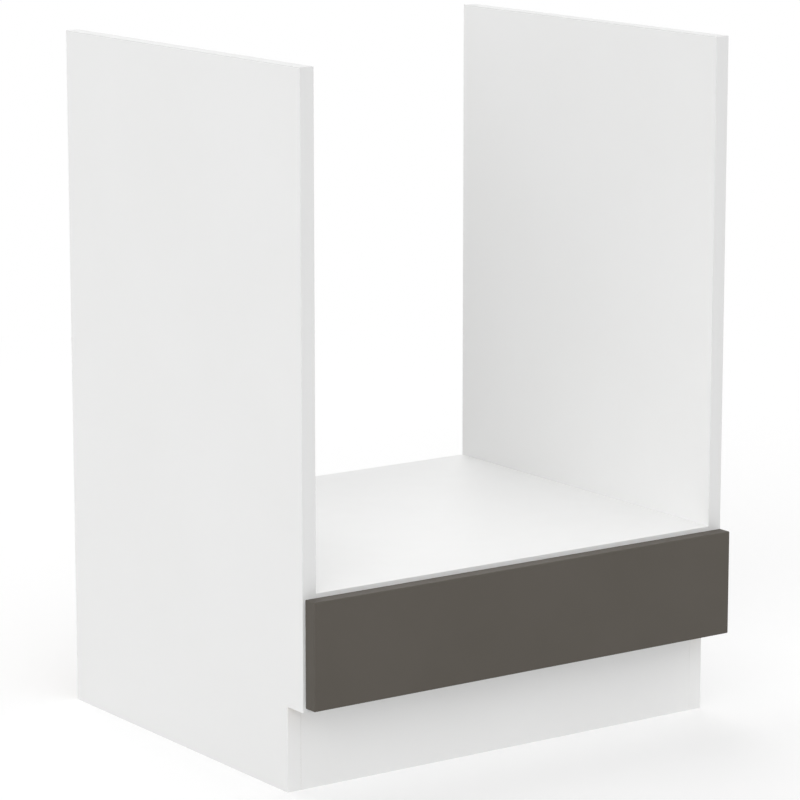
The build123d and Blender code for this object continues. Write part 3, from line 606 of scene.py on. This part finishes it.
# %% Finishes for the CAD nodes that stay
kept_nodes = {
    # The strips' finish carries painted shade: its colour is greyer than the skins'.
    "white_edging": ["edge_bands_left", "edge_bands_right", "edge_band_shelf", "edge_band_bottom",
                     "edge_bands_drawer"],
    "back_hardboard": ["back_panel"],
    "base_hardboard": ["drawer_base"],
    "runner_steel": ["cabinet_runner_left", "cabinet_runner_right", "drawer_runner_left",
                     "drawer_runner_right"],
    "zinc": ["cam_locks"],
    "zinc_plate": ["plinth_angles", "front_roller_pins", "rear_roller_pins"],
    "nylon": ["front_roller_left", "front_roller_right", "rear_roller_left", "rear_roller_right"],
}
for finish, names in kept_nodes.items():
    for name in names:
        for slot in frame["nodes"][name].material_slots:
            slot.material = finishes[finish]
print(sum(len(names) for names in kept_nodes.values()), "CAD nodes carried over with new finishes")


# %% [markdown]
# ## A board's copy
#
# The boards need more: eased arrises, and a core that shows where they are sawn. Each gets a copy of its
# CAD node, which keeps the holes and the grooves where they are. A CAD mesh is loose triangles, so they
# are merged first, and the flat faces are made whole. The attributes that the white board finish reads
# are worked out from the node's box.

# %% Helpers for a board's copy
merge_distance = 1e-6
flat_limit = math.radians(0.5)


def merged_copy(node):
    """A CAD node's mesh with its loose triangles joined and its flat faces made whole."""
    board = bmesh.new()
    board.from_mesh(frame["nodes"][node].data)
    bmesh.ops.remove_doubles(board, verts=board.verts, dist=merge_distance)
    bmesh.ops.dissolve_limit(board, angle_limit=flat_limit, verts=board.verts, edges=board.edges)
    return board


def mark_core(board, node, thickness_axis, is_raw):
    """Writes the attributes that the white board finish reads."""
    low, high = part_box(node)
    middle = (low[thickness_axis] + high[thickness_axis]) / 2
    half = (high[thickness_axis] - low[thickness_axis]) / 2
    raw = board.faces.layers.float.new("raw")
    across = board.verts.layers.float.new("across")
    grain = board.verts.layers.float_vector.new("grain")
    first, second = [axis for axis in range(3) if axis != thickness_axis]
    for vert in board.verts:
        vert[across] = (vert.co[thickness_axis] - middle) / half
        vert[grain] = (vert.co[first], vert.co[second], vert.co[thickness_axis])
    for face in board.faces:
        depth = half - abs(face.calc_center_median()[thickness_axis] - middle)
        face[raw] = float(is_raw(face, depth))


loose_triangles = len(frame["nodes"]["oven_shelf"].data.polygons)
print("oven shelf:", loose_triangles, "triangles become", len(merged_copy("oven_shelf").faces), "faces")


# %% [markdown]
# ## A piece in its node's place
#
# Whatever is made here stands for a CAD node. Its modifiers could stay live, but a plain mesh is sure to
# look the same everywhere. So they are turned into mesh first. Then the piece takes its node's place and
# rides on its node's body, so that a drawer's board slides with the drawer. A Weighted Normal modifier
# keeps a copy's large faces flat, so that only its arrises look round.

# %% Helpers that finish a piece and put it in its node's place
def evaluated_mesh(piece):
    """The mesh that a piece's modifiers make, which the piece keeps in place of its modifiers."""
    made = bpy.data.meshes.new_from_object(piece.evaluated_get(bpy.context.evaluated_depsgraph_get()))
    piece.modifiers.clear()
    piece.data = made
    return made


def finished_piece(name, board, finish):
    """Turns a bmesh into a linked piece with one finish."""
    mesh = bpy.data.meshes.new(name)
    board.to_mesh(mesh)
    mesh.materials.append(finishes[finish])
    mesh.shade_smooth()
    piece = bpy.data.objects.new(name, mesh)
    bpy.context.scene.collection.objects.link(piece)
    piece.modifiers.new("flat faces", "WEIGHTED_NORMAL").weight = 100
    evaluated_mesh(piece)
    return piece


def stands_for(piece, node):
    """Puts a finished piece in its node's place, on its node's body."""
    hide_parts(node)
    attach(piece, body_of(frame["nodes"][node])[0])


# %% [markdown]
# ## Boards with eased arrises
#
# A sawn board never has a perfect corner: the machine takes a hair off each arris, and that hair is
# what catches the light. A Bevel modifier could ease the boards. A bevel on the copy itself does the
# same in one call, where the sharp edges can be picked and counted, and it leaves the fine facets of
# the holes alone.

# %% Boards
boards = {   # the axis that a board's thickness runs along
    "side_panel_left": 0, "side_panel_right": 0, "bottom_panel": 2, "oven_shelf": 2, "plinth_board": 1,
    "drawer_side_left": 0, "drawer_side_right": 0, "drawer_box_front": 1, "drawer_box_back": 1,
}
easing = 0.2 * MM
sharp_from = math.radians(60)
raw_below = 1.2 * easing

for node, thickness_axis in boards.items():
    board = merged_copy(node)
    before = board.calc_volume()
    sharp = [edge for edge in board.edges if edge.calc_face_angle(0.0) > sharp_from]
    bmesh.ops.bevel(board, geom=sharp, offset=easing, offset_type="OFFSET", segments=2,
                    profile=0.5, affect="EDGES", clamp_overlap=True)
    mark_core(board, node, thickness_axis, lambda face, depth: depth > raw_below)
    loose = sum(1 for edge in board.edges if len(edge.link_faces) != 2)
    print(f"{node}: {len(sharp)} sharp edges eased, {loose} open,",
          f"{before * 1e6:.1f} -> {board.calc_volume() * 1e6:.1f} cm3, {len(board.faces)} faces")
    stands_for(finished_piece(node + "_eased", board, "white_board"), node)
    board.free()


# %% [markdown]
# ## The dark front
#
# The front is the piece that the eye finds first, because it is the only dark one. Its arrises are
# rounded by the CAD model already, so a merged copy is enough. Its back face is marked, because the
# foil stops there.

# %% Drawer front
back_face_depth = 0.1 * MM
looks_back = 0.99

front = merged_copy("drawer_front")
mark_core(front, "drawer_front", 1,
          lambda face, depth: face.normal.y > looks_back and depth < back_face_depth)
print("drawer front:", len(front.faces), "faces,", round(front.calc_volume() * 1e6, 1), "cm3")
stands_for(finished_piece("drawer_front_foil", front, "grey_front"), "drawer_front")
front.free()


# %% [markdown]
# ## Where the fasteners go
#
# The CAD model holds every screw, dowel and bolt as a plain turned solid in its right place. A finished
# one has threads, flutes and recesses. Modelling each by hand would take a day and they would all be
# alike, so a Geometry Nodes tree makes one of a kind and puts it on every point. The points are
# measured from the CAD solids: where the head is, and which way the piece runs from there.

# %% Measure the turned solids of a node
end_band = 0.05 * MM


def turned_places(node, axis=None):
    """Each solid's head, its direction from there and its length, in an order that never changes."""
    whole = bmesh.new()
    whole.from_mesh(frame["nodes"][node].data)
    bmesh.ops.remove_doubles(whole, verts=whole.verts, dist=merge_distance)
    unseen = set(whole.verts)
    places = []
    while unseen:
        reached = [unseen.pop()]
        for vert in reached:
            for edge in vert.link_edges:
                other = edge.other_vert(vert)
                if other in unseen:
                    unseen.discard(other)
                    reached.append(other)
        places.append(head_and_direction([vert.co.copy() for vert in reached], axis))
    whole.free()
    return sorted(places, key=lambda place: tuple(round(v, 5) for v in place[0]))


def head_and_direction(points, axis):
    """The thicker end of a turned solid is its head."""
    low = [min(p[i] for p in points) for i in range(3)]
    high = [max(p[i] for p in points) for i in range(3)]
    sizes = [b - a for a, b in zip(low, high)]
    axis = sizes.index(max(sizes)) if axis is None else axis
    middle = Vector([(a + b) / 2 for a, b in zip(low, high)])
    reach = []
    for end in (low[axis], high[axis]):
        level = middle.copy()
        level[axis] = end
        reach.append(max((p - level).length for p in points if abs(p[axis] - end) < end_band))
    head_is_low = reach[0] > reach[1]
    head = middle.copy()
    head[axis] = low[axis] if head_is_low else high[axis]
    direction = Vector((0, 0, 0))
    direction[axis] = 1 if head_is_low else -1
    return head, direction, sizes[axis]


print("dowels found:", len(turned_places("wood_dowels")))


# %% [markdown]
# ## A tree for the bumpers
#
# The bumpers are the simplest turned piece: four soft domes that keep the drawer front 2 mm off the
# cabinet. Their tree shows how all the others are built. Its sizes are named inputs, so that they can be
# set from outside and one tree can serve pieces of several sizes.

# %% A tree with named sizes
bumper_sizes = {"Thickness": 2.0 * MM, "Radius": 4.0 * MM, "Turn Seed": 1}


def new_shape_tree(name, sizes):
    """An empty tree with a named input for each size, and the outputs of its Group Input."""
    tree = bpy.data.node_groups.new(name, "GeometryNodeTree")
    tree.interface.new_socket("Geometry", in_out="INPUT", socket_type="NodeSocketGeometry")
    for label, value in sizes.items():
        kind = "NodeSocketInt" if isinstance(value, int) else "NodeSocketFloat"
        tree.interface.new_socket(label, in_out="INPUT", socket_type=kind).default_value = value
    tree.interface.new_socket("Geometry", in_out="OUTPUT", socket_type="NodeSocketGeometry")
    return tree, tree.nodes.new("NodeGroupInput").outputs


tree, size = new_shape_tree("bumper_dot", bumper_sizes)
print("the bumper's tree takes", ", ".join(bumper_sizes))


# %% [markdown]
# ## A lathe
#
# A lathe is a rule: a profile, turned about an axis. Spinning each piece by hand would do it once. In
# nodes, a grid of points is bent round instead: its rows are the stations of the profile and its columns
# go round the axis. The bumper's stations are shares of its thickness and its radius, so that the dome
# keeps its shape when its size changes.

# %% The lathe, and the dome that it turns
dome = [(0.0, 0.0), (0.0, 0.96), (0.12, 1.0), (0.50, 1.0), (0.72, 0.93), (0.88, 0.80), (0.97, 0.60),
        (1.0, 0.35), (1.0, 0.0)]


def scaled(tree, size, factor):
    """A size times a plain number."""
    return calculate(tree, "MULTIPLY", size, factor)


def pick(tree, index, values):
    """One of several sizes, by its number."""
    chosen = add_node(tree, "GeometryNodeIndexSwitch", data_type="FLOAT")
    while len(chosen.index_switch_items) < len(values):
        chosen.index_switch_items.new()
    tree.links.new(index, chosen.inputs[0])
    for socket, value in zip(chosen.inputs[1:], values):
        if isinstance(value, bpy.types.NodeSocket):
            tree.links.new(value, socket)
        else:
            socket.default_value = value
    return chosen.outputs[0]


def lathe(tree, stations, sides, flutes=0, flute_share=0.0):
    """Turns a profile about X. Each station is a place along X and a radius, as sizes or outputs."""
    round_points = sides + 1
    grid = add_node(tree, "GeometryNodeMeshGrid", {"Size X": 1.0, "Size Y": 1.0,
                    "Vertices X": len(stations), "Vertices Y": round_points})
    index = add_node(tree, "GeometryNodeInputIndex").outputs[0]
    row = calculate(tree, "DIVIDE", calculate(tree, "ADD", index, 0.5), float(round_points))
    row = calculate(tree, "FLOOR", row)
    column = calculate(tree, "SUBTRACT", index, scaled(tree, row, float(round_points)))
    turn = scaled(tree, column, 2 * math.pi / sides)
    along = pick(tree, row, [station[0] for station in stations])
    radius = pick(tree, row, [station[1] for station in stations])
    if flutes:
        wave = calculate(tree, "COSINE", scaled(tree, turn, float(flutes)))
        wave = calculate(tree, "MAXIMUM", wave, 0.0)
        cut = calculate(tree, "MULTIPLY_ADD", wave, -flute_share, 1.0)
        radius = calculate(tree, "MULTIPLY", radius, cut)
    place = add_node(tree, "ShaderNodeCombineXYZ", {
        0: along,
        1: calculate(tree, "MULTIPLY", radius, calculate(tree, "COSINE", turn)),
        2: calculate(tree, "MULTIPLY", radius, calculate(tree, "SINE", turn))})
    bent = add_node(tree, "GeometryNodeSetPosition", {"Geometry": grid.outputs["Mesh"],
                    "Position": place.outputs[0]})
    closed = add_node(tree, "GeometryNodeMergeByDistance", {"Geometry": bent.outputs[0],
                      "Distance": 2 * merge_distance})
    return closed.outputs[0]


profile = [(scaled(tree, size["Thickness"], along), scaled(tree, size["Radius"], out))
           for along, out in dome]
turned_dome = lathe(tree, profile, sides=32)
print("the dome has", len(dome), "stations and takes", len(tree.nodes), "nodes")


# %% [markdown]
# ## The end of a tree
#
# Every tree ends alike. Its shape goes on each point, turned to the point's axis and by a random amount
# about it, because nobody lines fasteners up. The seed is fixed, so it is the same turn every time.
# Realize Instances makes real mesh of the copies, and Set Material gives them their finish.

# %% One shape on every point
def put_on_points(tree, inputs, shape, finish):
    """Ends a tree: one shape on every point, turned to its axis and a random amount about it."""
    axis = add_node(tree, "GeometryNodeInputNamedAttribute", {"Name": "axis"}, data_type="FLOAT_VECTOR")
    facing = add_node(tree, "FunctionNodeAlignRotationToVector", {"Vector": axis.outputs[0]}, axis="X")
    turn = add_node(tree, "FunctionNodeRandomValue", {"Max": 2 * math.pi, "Seed": inputs["Turn Seed"]})
    random_turn = next(socket for socket in turn.outputs if socket.enabled)
    spin = add_node(tree, "FunctionNodeAxisAngleToRotation", {"Axis": (1, 0, 0), "Angle": random_turn})
    both = add_node(tree, "FunctionNodeRotateRotation", {"Rotation": facing.outputs[0],
                    "Rotate By": spin.outputs[0]}, rotation_space="LOCAL")
    on_points = add_node(tree, "GeometryNodeInstanceOnPoints", {"Points": inputs["Geometry"],
                         "Instance": shape, "Rotation": both.outputs[0]})
    real = add_node(tree, "GeometryNodeRealizeInstances", {"Geometry": on_points.outputs[0]})
    painted = add_node(tree, "GeometryNodeSetMaterial", {"Geometry": real.outputs[0],
                       "Material": finishes[finish]})
    end = tree.nodes.new("NodeGroupOutput")
    tree.links.new(painted.outputs[0], end.inputs[0])


put_on_points(tree, size, turned_dome, "bumper")
print("the bumper's tree is complete with", len(tree.nodes), "nodes")


# %% [markdown]
# ## Bumpers
#
# A modifier runs the tree on the points that were measured from a CAD node. What comes out is made a
# plain mesh, its faces are turned outwards and its sharp edges marked, and it takes the node's place. A
# bumper is wider than it is long, so its axis is given and not taken from its longest side.

# %% Bumpers
crease_angle = math.radians(38)


def make_on_node(node, tree, sizes, axis=None):
    """Runs a tree on the points measured from a node and puts the result in the node's place."""
    places = turned_places(node, axis)
    mesh = bpy.data.meshes.new(node + "_points")
    mesh.from_pydata([place[0] for place in places], [], [])
    axes = mesh.attributes.new("axis", "FLOAT_VECTOR", "POINT")
    axes.data.foreach_set("vector", [value for place in places for value in place[1]])
    piece = bpy.data.objects.new(node + "_made", mesh)
    bpy.context.scene.collection.objects.link(piece)
    modifier = piece.modifiers.new("shape", "NODES")
    modifier.node_group = tree
    for socket in tree.interface.items_tree:
        if socket.in_out == "INPUT" and socket.name in sizes:
            modifier[socket.identifier] = sizes[socket.name]
    made = evaluated_mesh(piece)
    outwards = bmesh.new()
    outwards.from_mesh(made)
    bmesh.ops.recalc_face_normals(outwards, faces=outwards.faces)
    outwards.to_mesh(made)
    outwards.free()
    made.shade_smooth()
    made.set_sharp_from_angle(angle=crease_angle)
    stands_for(piece, node)
    triangles = sum(len(face.vertices) - 2 for face in made.polygons)
    print(f"{node}: {len(places)} made, {places[0][2] / MM:.1f} mm long, {triangles} triangles")


make_on_node("bumpers", tree, bumper_sizes, axis=1)


# %% [markdown]
# ## Dowels
#
# A dowel is a beech rod with chamfered ends and sixteen flutes that let air and glue out. The flutes
# could be cut out one by one, but a wave in the lathe's radius makes them all at once. It only cuts
# inwards, so the rod still fits its hole.

# %% Fluted dowels
dowel_sizes = {"Length": 35.0 * MM, "Radius": 4.0 * MM, "Chamfer": 1.0 * MM, "Turn Seed": 7}

tree, size = new_shape_tree("fluted_dowel", dowel_sizes)
inner = calculate(tree, "SUBTRACT", size["Radius"], size["Chamfer"])
far_shoulder = calculate(tree, "SUBTRACT", size["Length"], size["Chamfer"])
profile = [(0.0, 0.0), (0.0, inner), (size["Chamfer"], size["Radius"]), (far_shoulder, size["Radius"]),
           (size["Length"], inner), (size["Length"], 0.0)]
put_on_points(tree, size, lathe(tree, profile, sides=96, flutes=16, flute_share=0.07), "beech")
make_on_node("wood_dowels", tree, dowel_sizes)


# %% [markdown]
# ## A thread
#
# A screw thread is a second rule: a triangle that follows a helix. The Screw modifier makes one too, but
# in a tree it can follow named sizes. Curve to Mesh sweeps the triangle just inside the crest's radius,
# so that its inner corners sink into the core and it grows out of it like a rolled thread. The cam
# bolt's thread comes first. It starts after the thick shaft and stops before the tip.

# %% A helper for threads, and the cam bolt's thread
bolt_sizes = {
    "Length": 46.25 * MM, "Head Radius": 3.2 * MM, "Head Length": 2.5 * MM, "Neck Radius": 2.0 * MM,
    "Neck End": 8.75 * MM, "Shaft Radius": 3.9 * MM, "Shaft End": 35.25 * MM, "Core Radius": 1.7 * MM,
    "Thread Radius": 2.5 * MM, "Thread Pitch": 2.4 * MM, "Ridge": 0.55 * MM, "Turn Seed": 5,
}
thread_after_shaft, thread_before_tip = 0.5, 1.2


def moved(tree, size, by_mm):
    """A size plus some millimetres."""
    return calculate(tree, "ADD", size, by_mm * MM)


def helix_ridge(tree, size, start, end, crest_at_end=None):
    """A thread's ridge from start to end along X, which may narrow towards its end."""
    length = calculate(tree, "SUBTRACT", end, start)
    crests = (size["Thread Radius"], crest_at_end or size["Thread Radius"])
    start_radius, end_radius = [calculate(tree, "SUBTRACT", crest, size["Ridge"]) for crest in crests]
    helix = add_node(tree, "GeometryNodeCurveSpiral", {
        "Resolution": 16, "Rotations": calculate(tree, "DIVIDE", length, size["Thread Pitch"]),
        "Height": length, "Start Radius": start_radius, "End Radius": end_radius})
    upright = add_node(tree, "GeometryNodeSetCurveNormal", {"Curve": helix.outputs[0]}, mode="Z_UP")
    triangle = add_node(tree, "GeometryNodeCurvePrimitiveCircle", {"Resolution": 3,
                        "Radius": size["Ridge"]})
    swept = add_node(tree, "GeometryNodeCurveToMesh", {"Curve": upright.outputs[0],
                     "Profile Curve": triangle.outputs[0], "Fill Caps": True})
    shift = add_node(tree, "ShaderNodeCombineXYZ", {0: start})
    laid = add_node(tree, "GeometryNodeTransform", {"Geometry": swept.outputs[0],
                    "Translation": shift.outputs[0], "Rotation": (0, math.radians(90), 0)})
    return laid.outputs[0]


tree, size = new_shape_tree("cam_bolt", bolt_sizes)
thread_start = moved(tree, size["Shaft End"], thread_after_shaft)
thread_end = moved(tree, size["Length"], -thread_before_tip)
thread = helix_ridge(tree, size, thread_start, thread_end)
print("a cam bolt's thread takes", len(tree.nodes), "nodes")


# %% [markdown]
# ## Cam bolts
#
# A cam bolt is a turned piece as well: a barrel-shaped head that the cam grips, a thin neck, a thick
# shaft with a tapered shoulder, and a threaded core with a blunt end. So it needs a longer profile on
# the same lathe, and its thread is joined on. Its small steps are in millimetres from the named sizes.

# %% Cam bolts
barrel = [(0.0, 0.6), (0.22, 0.92), (0.5, 1.0), (0.78, 0.92)]
shoulder_knee, shoulder_end, knee_depth = 0.6, 1.1, 0.5
shaft_chamfer = 0.3
blunt_length, blunt_share = 1.0, 0.5


def joined(tree, *shapes):
    """Several shapes as one geometry."""
    together = add_node(tree, "GeometryNodeJoinGeometry")
    for shape in shapes:
        tree.links.new(shape, together.inputs[0])
    return together.outputs[0]


head, head_end = size["Head Radius"], size["Head Length"]
neck, neck_end = size["Neck Radius"], size["Neck End"]
shaft, shaft_end = size["Shaft Radius"], size["Shaft End"]
core, length = size["Core Radius"], size["Length"]
profile = [(0.0, 0.0),
           *[(scaled(tree, head_end, along), scaled(tree, head, out)) for along, out in barrel],
           (head_end, neck), (neck_end, neck),
           (moved(tree, neck_end, shoulder_knee), moved(tree, shaft, -knee_depth)),
           (moved(tree, neck_end, shoulder_end), shaft), (moved(tree, shaft_end, -shaft_chamfer), shaft),
           (shaft_end, moved(tree, shaft, -shaft_chamfer)), (shaft_end, core),
           (moved(tree, length, -blunt_length), core), (length, scaled(tree, core, blunt_share)),
           (length, 0.0)]
put_on_points(tree, size, joined(tree, lathe(tree, profile, sides=28), thread), "screw_steel")
make_on_node("cam_bolts", tree, bolt_sizes)


# %% [markdown]
# ## Screws
#
# Every screw here is a head, a shank, a threaded core and a point, so one profile with named sizes makes
# all of them: pan heads for the angles, the front, the base and the drawer's runners, flat heads that
# sink into the cabinet's runners, and the thick corner screws of the drawer box. The head's crown is a
# quarter circle in three steps, stretched to its size.

# %% The body that all screws share
screw_sizes = {
    "Length": 16.4 * MM, "Crown Radius": 2.2 * MM, "Crown Height": 1.0 * MM, "Head Radius": 3.4 * MM,
    "Rim Height": 1.1 * MM, "Head Height": 2.1 * MM, "Shank Radius": 1.75 * MM, "Shank End": 2.9 * MM,
    "Core Radius": 1.22 * MM, "Thread Radius": 1.75 * MM, "Thread Pitch": 1.5 * MM, "Ridge": 0.40 * MM,
    "Tip Length": 2.5 * MM, "Recess Reach": 3.8 * MM, "Recess Width": 0.95 * MM, "Recess Depth": 1.3 * MM,
    "Turn Seed": 3,
}
quarter_circle = [(0.134, 0.5), (0.5, 0.866)]   # down from the crown and out towards the rim
bare_point, last_crest = 0.25, 0.4   # shares of the tip's length and of the thread's radius


def share(tree, start, end, part):
    """A size between two others, part of the way from start to end."""
    return calculate(tree, "MULTIPLY_ADD", calculate(tree, "SUBTRACT", end, start), part, start)


def screw_body(tree, size):
    """The turned body and its thread, from the head's top at x = 0."""
    crown, head, shank, core = [size[name + " Radius"] for name in ("Crown", "Head", "Shank", "Core")]
    crown_height, shank_end, length = size["Crown Height"], size["Shank End"], size["Length"]
    rim_end = calculate(tree, "ADD", crown_height, size["Rim Height"])
    core_start = calculate(tree, "ADD", shank_end, calculate(tree, "SUBTRACT", shank, core))
    tip_start = calculate(tree, "SUBTRACT", length, size["Tip Length"])
    profile = [(0.0, 0.0), (0.0, crown),
               *[(scaled(tree, crown_height, down), share(tree, crown, head, out))
                 for down, out in quarter_circle],
               (crown_height, head), (rim_end, head), (size["Head Height"], shank), (shank_end, shank),
               (core_start, core), (tip_start, core), (length, 0.0)]
    near_point = calculate(tree, "SUBTRACT", length, scaled(tree, size["Tip Length"], bare_point))
    small_crest = scaled(tree, size["Thread Radius"], last_crest)
    threads = [helix_ridge(tree, size, core_start, tip_start),
               helix_ridge(tree, size, tip_start, near_point, small_crest)]
    return lathe(tree, profile, sides=24), threads


cross_tree, size = new_shape_tree("cross_screw", screw_sizes)
body, threads = screw_body(cross_tree, size)
print(len(screw_sizes) - 1, "named sizes for a screw, whose body takes", len(cross_tree.nodes), "nodes")


# %% [markdown]
# ## A cross recess
#
# Most of the screws are driven with a cross bit, so the recess in their head is two tapered blades that
# cross. It could be drawn into the head's mesh, but cutting is simpler: Mesh Boolean takes the blades
# out of the turned body. The thread is joined on afterwards, because it would only slow the cut.

# %% Cross screws
blade_taper = -0.38


def cut_out(tree, shape, *tools):
    """Takes tools away from a shape."""
    cut = add_node(tree, "GeometryNodeMeshBoolean", {0: shape}, operation="DIFFERENCE", solver="EXACT")
    for tool in tools:
        tree.links.new(tool, cut.inputs[1])
    return cut.outputs[0]


def tapered_blade(tree, size, turn):
    """One arm of a cross recess, narrower at its bottom."""
    depth = size["Recess Depth"]
    extent = add_node(tree, "ShaderNodeCombineXYZ", {0: scaled(tree, depth, 2.0),
                      1: size["Recess Reach"], 2: size["Recess Width"]})
    bar = add_node(tree, "GeometryNodeMeshCube", {"Size": extent.outputs[0]})
    where = add_node(tree, "GeometryNodeInputPosition").outputs[0]
    x, y, z = add_node(tree, "ShaderNodeSeparateXYZ", {0: where}).outputs
    narrow = calculate(tree, "MULTIPLY_ADD", calculate(tree, "DIVIDE", x, depth), blade_taper, 1.0)
    place = add_node(tree, "ShaderNodeCombineXYZ", {0: x, 1: calculate(tree, "MULTIPLY", y, narrow),
                     2: calculate(tree, "MULTIPLY", z, narrow)})
    cut = add_node(tree, "GeometryNodeSetPosition", {"Geometry": bar.outputs[0],
                   "Position": place.outputs[0]})
    turned = add_node(tree, "GeometryNodeTransform", {"Geometry": cut.outputs[0],
                      "Rotation": (turn, 0, 0)})
    return turned.outputs[0]


blades = [tapered_blade(cross_tree, size, turn) for turn in (0.0, math.pi / 2)]
cross_head = cut_out(cross_tree, body, *blades)
put_on_points(cross_tree, size, joined(cross_tree, cross_head, *threads), "screw_steel")
print("the cross screw's tree has", len(cross_tree.nodes), "nodes")


# %% [markdown]
# ## A socket recess
#
# The drawer box's corner screws are driven with a key, so they have a socket with six sides instead. A
# second tree shares everything but the tool: the body and its thread come from the same helper, and the
# tool is a prism with its flats as far apart as the recess reaches.

# %% Socket screws
half_a_side = math.radians(30)

socket_tree, size = new_shape_tree("socket_screw", screw_sizes)
body, threads = screw_body(socket_tree, size)
corner_radius = calculate(socket_tree, "DIVIDE", size["Recess Reach"], 2 * math.cos(half_a_side))
prism = add_node(socket_tree, "GeometryNodeMeshCylinder", {"Vertices": 6, "Radius": corner_radius,
                 "Depth": scaled(socket_tree, size["Recess Depth"], 2.0)})
prism = add_node(socket_tree, "GeometryNodeTransform", {"Geometry": prism.outputs[0],
                 "Rotation": (0, math.radians(90), 0)})
socket_head = cut_out(socket_tree, body, prism.outputs[0])
put_on_points(socket_tree, size, joined(socket_tree, socket_head, *threads), "screw_steel")
print("the socket screw's tree has", len(socket_tree.nodes), "nodes")


# %% [markdown]
# ## All the screws
#
# A screw only has to say where it differs from the tree's own sizes, so four kinds need no words at
# all. Its length is measured from its CAD solid, so it can't stick out where the CAD screw doesn't.

# %% Screws of the cabinet and the drawer
def screws_on(node, tree, **sizes):
    """Screws on a node: what isn't named here stays as in the tree, in millimetres."""
    length = turned_places(node)[0][2]
    changed = {name.replace("_", " "): value * MM for name, value in sizes.items()}
    make_on_node(node, tree, {**screw_sizes, "Length": length, **changed})


for node in ("plinth_angle_screws", "drawer_runner_screws", "front_screws", "base_screws"):
    screws_on(node, cross_tree)
screws_on("cabinet_runner_screws", cross_tree, Crown_Radius=2.75, Crown_Height=0.10, Head_Radius=2.93,
          Rim_Height=0.02, Head_Height=1.2, Shank_End=1.3)
screws_on("box_screws", socket_tree, Crown_Radius=4.45, Crown_Height=0.2, Head_Radius=4.8,
          Rim_Height=0.3, Head_Height=2.6, Shank_Radius=3.5, Shank_End=15.4, Core_Radius=1.9,
          Thread_Radius=2.5, Thread_Pitch=2.6, Ridge=0.55, Recess_Reach=4.0, Recess_Depth=2.4)
